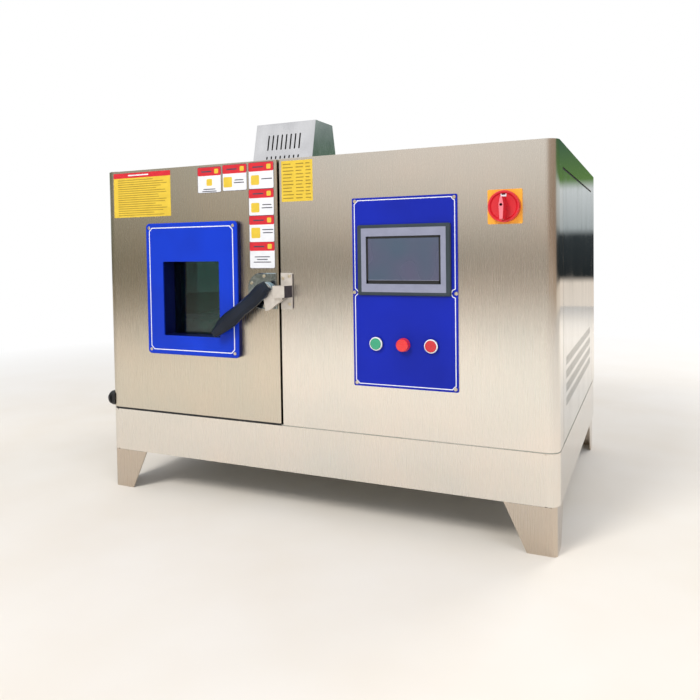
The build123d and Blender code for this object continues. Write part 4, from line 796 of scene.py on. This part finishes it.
def makeRing(look):
    material = bpy.data.materials.new("shadeRingPaint")
    material.use_nodes = True
    tree = material.node_tree
    tree.nodes.clear()
    place = addNode(tree, "ShaderNodeTexCoord").outputs["Object"]
    split = addNode(tree, "ShaderNodeSeparateXYZ", None, {0: place})
    height = addNode(tree, "ShaderNodeMapRange", {"From Min": 0.0, "From Max": look["height"]},
                     {"Value": split.outputs["Z"]})
    shades = {}
    for side, colours in look["sides"].items():
        ramp = addNode(tree, "ShaderNodeValToRGB", None, {0: height.outputs[0]})
        stops = ramp.color_ramp.elements
        while len(stops) < len(colours):
            stops.new(0.5)
        for stop, (at, colour) in zip(stops, colours):
            stop.position = at
            stop.color = linear(colour)
        shades[side] = ramp.outputs[0]
    whole = shades["left"]
    for side, axis, start, end in look["turns"]:
        turn = addNode(tree, "ShaderNodeMapRange", {"From Min": start, "From Max": end},
                       {"Value": split.outputs[axis]})
        whole = addNode(tree, "ShaderNodeMix", {"data_type": "RGBA"},
                        {0: turn.outputs[0], 6: whole, 7: shades[side]}).outputs[2]
    glow = addNode(tree, "ShaderNodeEmission", {"Strength": 1.0}, {"Color": whole})
    addNode(tree, "ShaderNodeOutputMaterial", None, {"Surface": glow.outputs[0]})
    bm = bmesh.new()
    bmesh.ops.create_circle(bm, segments=48, radius=look["reach"])
    wall = bmesh.ops.extrude_edge_only(bm, edges=bm.edges[:])["geom"]
    bmesh.ops.translate(bm, vec=(0, 0, look["height"]), verts=[v for v in wall if isinstance(v, bmesh.types.BMVert)])
    ring = addStage("shadeRing", bm, material)
    ring.visible_camera = ring.visible_diffuse = ring.visible_transmission = ring.visible_shadow = False


# Soft studio fill, and plain white for what the camera, a reflection or the glass sees past the object
worldLook = {"fill": "#f4f6fa", "strength": 0.62}


def makeWorld(look):
    world = bpy.data.worlds.new("studioWorld")
    world.use_nodes = True
    tree = world.node_tree
    tree.nodes.clear()
    path = addNode(tree, "ShaderNodeLightPath")
    seen = path.outputs["Is Camera Ray"]
    for ray in ("Is Glossy Ray", "Is Transmission Ray"):
        seen = addNode(tree, "ShaderNodeMath", {"operation": "MAXIMUM"}, {0: seen, 1: path.outputs[ray]}).outputs[0]
    fill = addNode(tree, "ShaderNodeBackground", {"Color": linear(look["fill"]), "Strength": look["strength"]})
    white = addNode(tree, "ShaderNodeBackground", {"Color": (1, 1, 1, 1), "Strength": 1.0})
    both = addNode(tree, "ShaderNodeMixShader", None, {0: seen, 1: fill.outputs[0], 2: white.outputs[0]})
    addNode(tree, "ShaderNodeOutputWorld", None, {"Surface": both.outputs[0]})
    scene.world = world


lamps = {
    "keyLamp": {"at": (-0.9, -3.5, 3.4), "size": 1.6, "watts": 120, "colour": "#fffaf2"},
    "fillLamp": {"at": (3.2, -2.6, 2.4), "size": 2.4, "watts": 35, "colour": "#f4f8ff"},
    "backLamp": {"at": (2.0, 3.4, 2.6), "size": 2.4, "watts": 70, "colour": "#fffaf4"},
}
lampAim = (0, 0, 0.45)


# The lamps don't show in reflections, so that the steel mirrors the ring and the white above it
def makeLamp(name, look):
    lamp = bpy.data.lights.new(name, "AREA")
    lamp.shape = "DISK"
    lamp.size = look["size"]
    lamp.energy = look["watts"]
    lamp.color = linear(look["colour"])[:3]
    holder = bpy.data.objects.new(name, lamp)
    holder.location = look["at"]
    holder.rotation_euler = (Vector(lampAim) - Vector(look["at"])).to_track_quat("-Z", "Y").to_euler()
    holder.visible_glossy = holder.visible_camera = False
    scene.collection.objects.link(holder)


cameraLook = {"at": (0.7288, -1.7350, 0.6012), "turn": (88.101, 0.820, 24.232), "lens": 34.88, "sensor": 36.0,
              "shift": (0.00267, -0.11142), "clip": (0.05, 60.0)}


def makeCamera(look):
    lens = bpy.data.cameras.new("camera")
    lens.lens = look["lens"]
    lens.sensor_width = look["sensor"]
    lens.shift_x, lens.shift_y = look["shift"]
    lens.clip_start, lens.clip_end = look["clip"]
    holder = bpy.data.objects.new("camera", lens)
    holder.location = look["at"]
    holder.rotation_euler = [math.radians(a) for a in look["turn"]]
    scene.collection.objects.link(holder)
    scene.camera = holder


makeFloor(floorLook)
makeRing(ringLook)
makeWorld(worldLook)
for name, look in lamps.items():
    makeLamp(name, look)
makeCamera(cameraLook)
scene.view_settings.view_transform = "Standard"
print("stage, lamps and camera set")
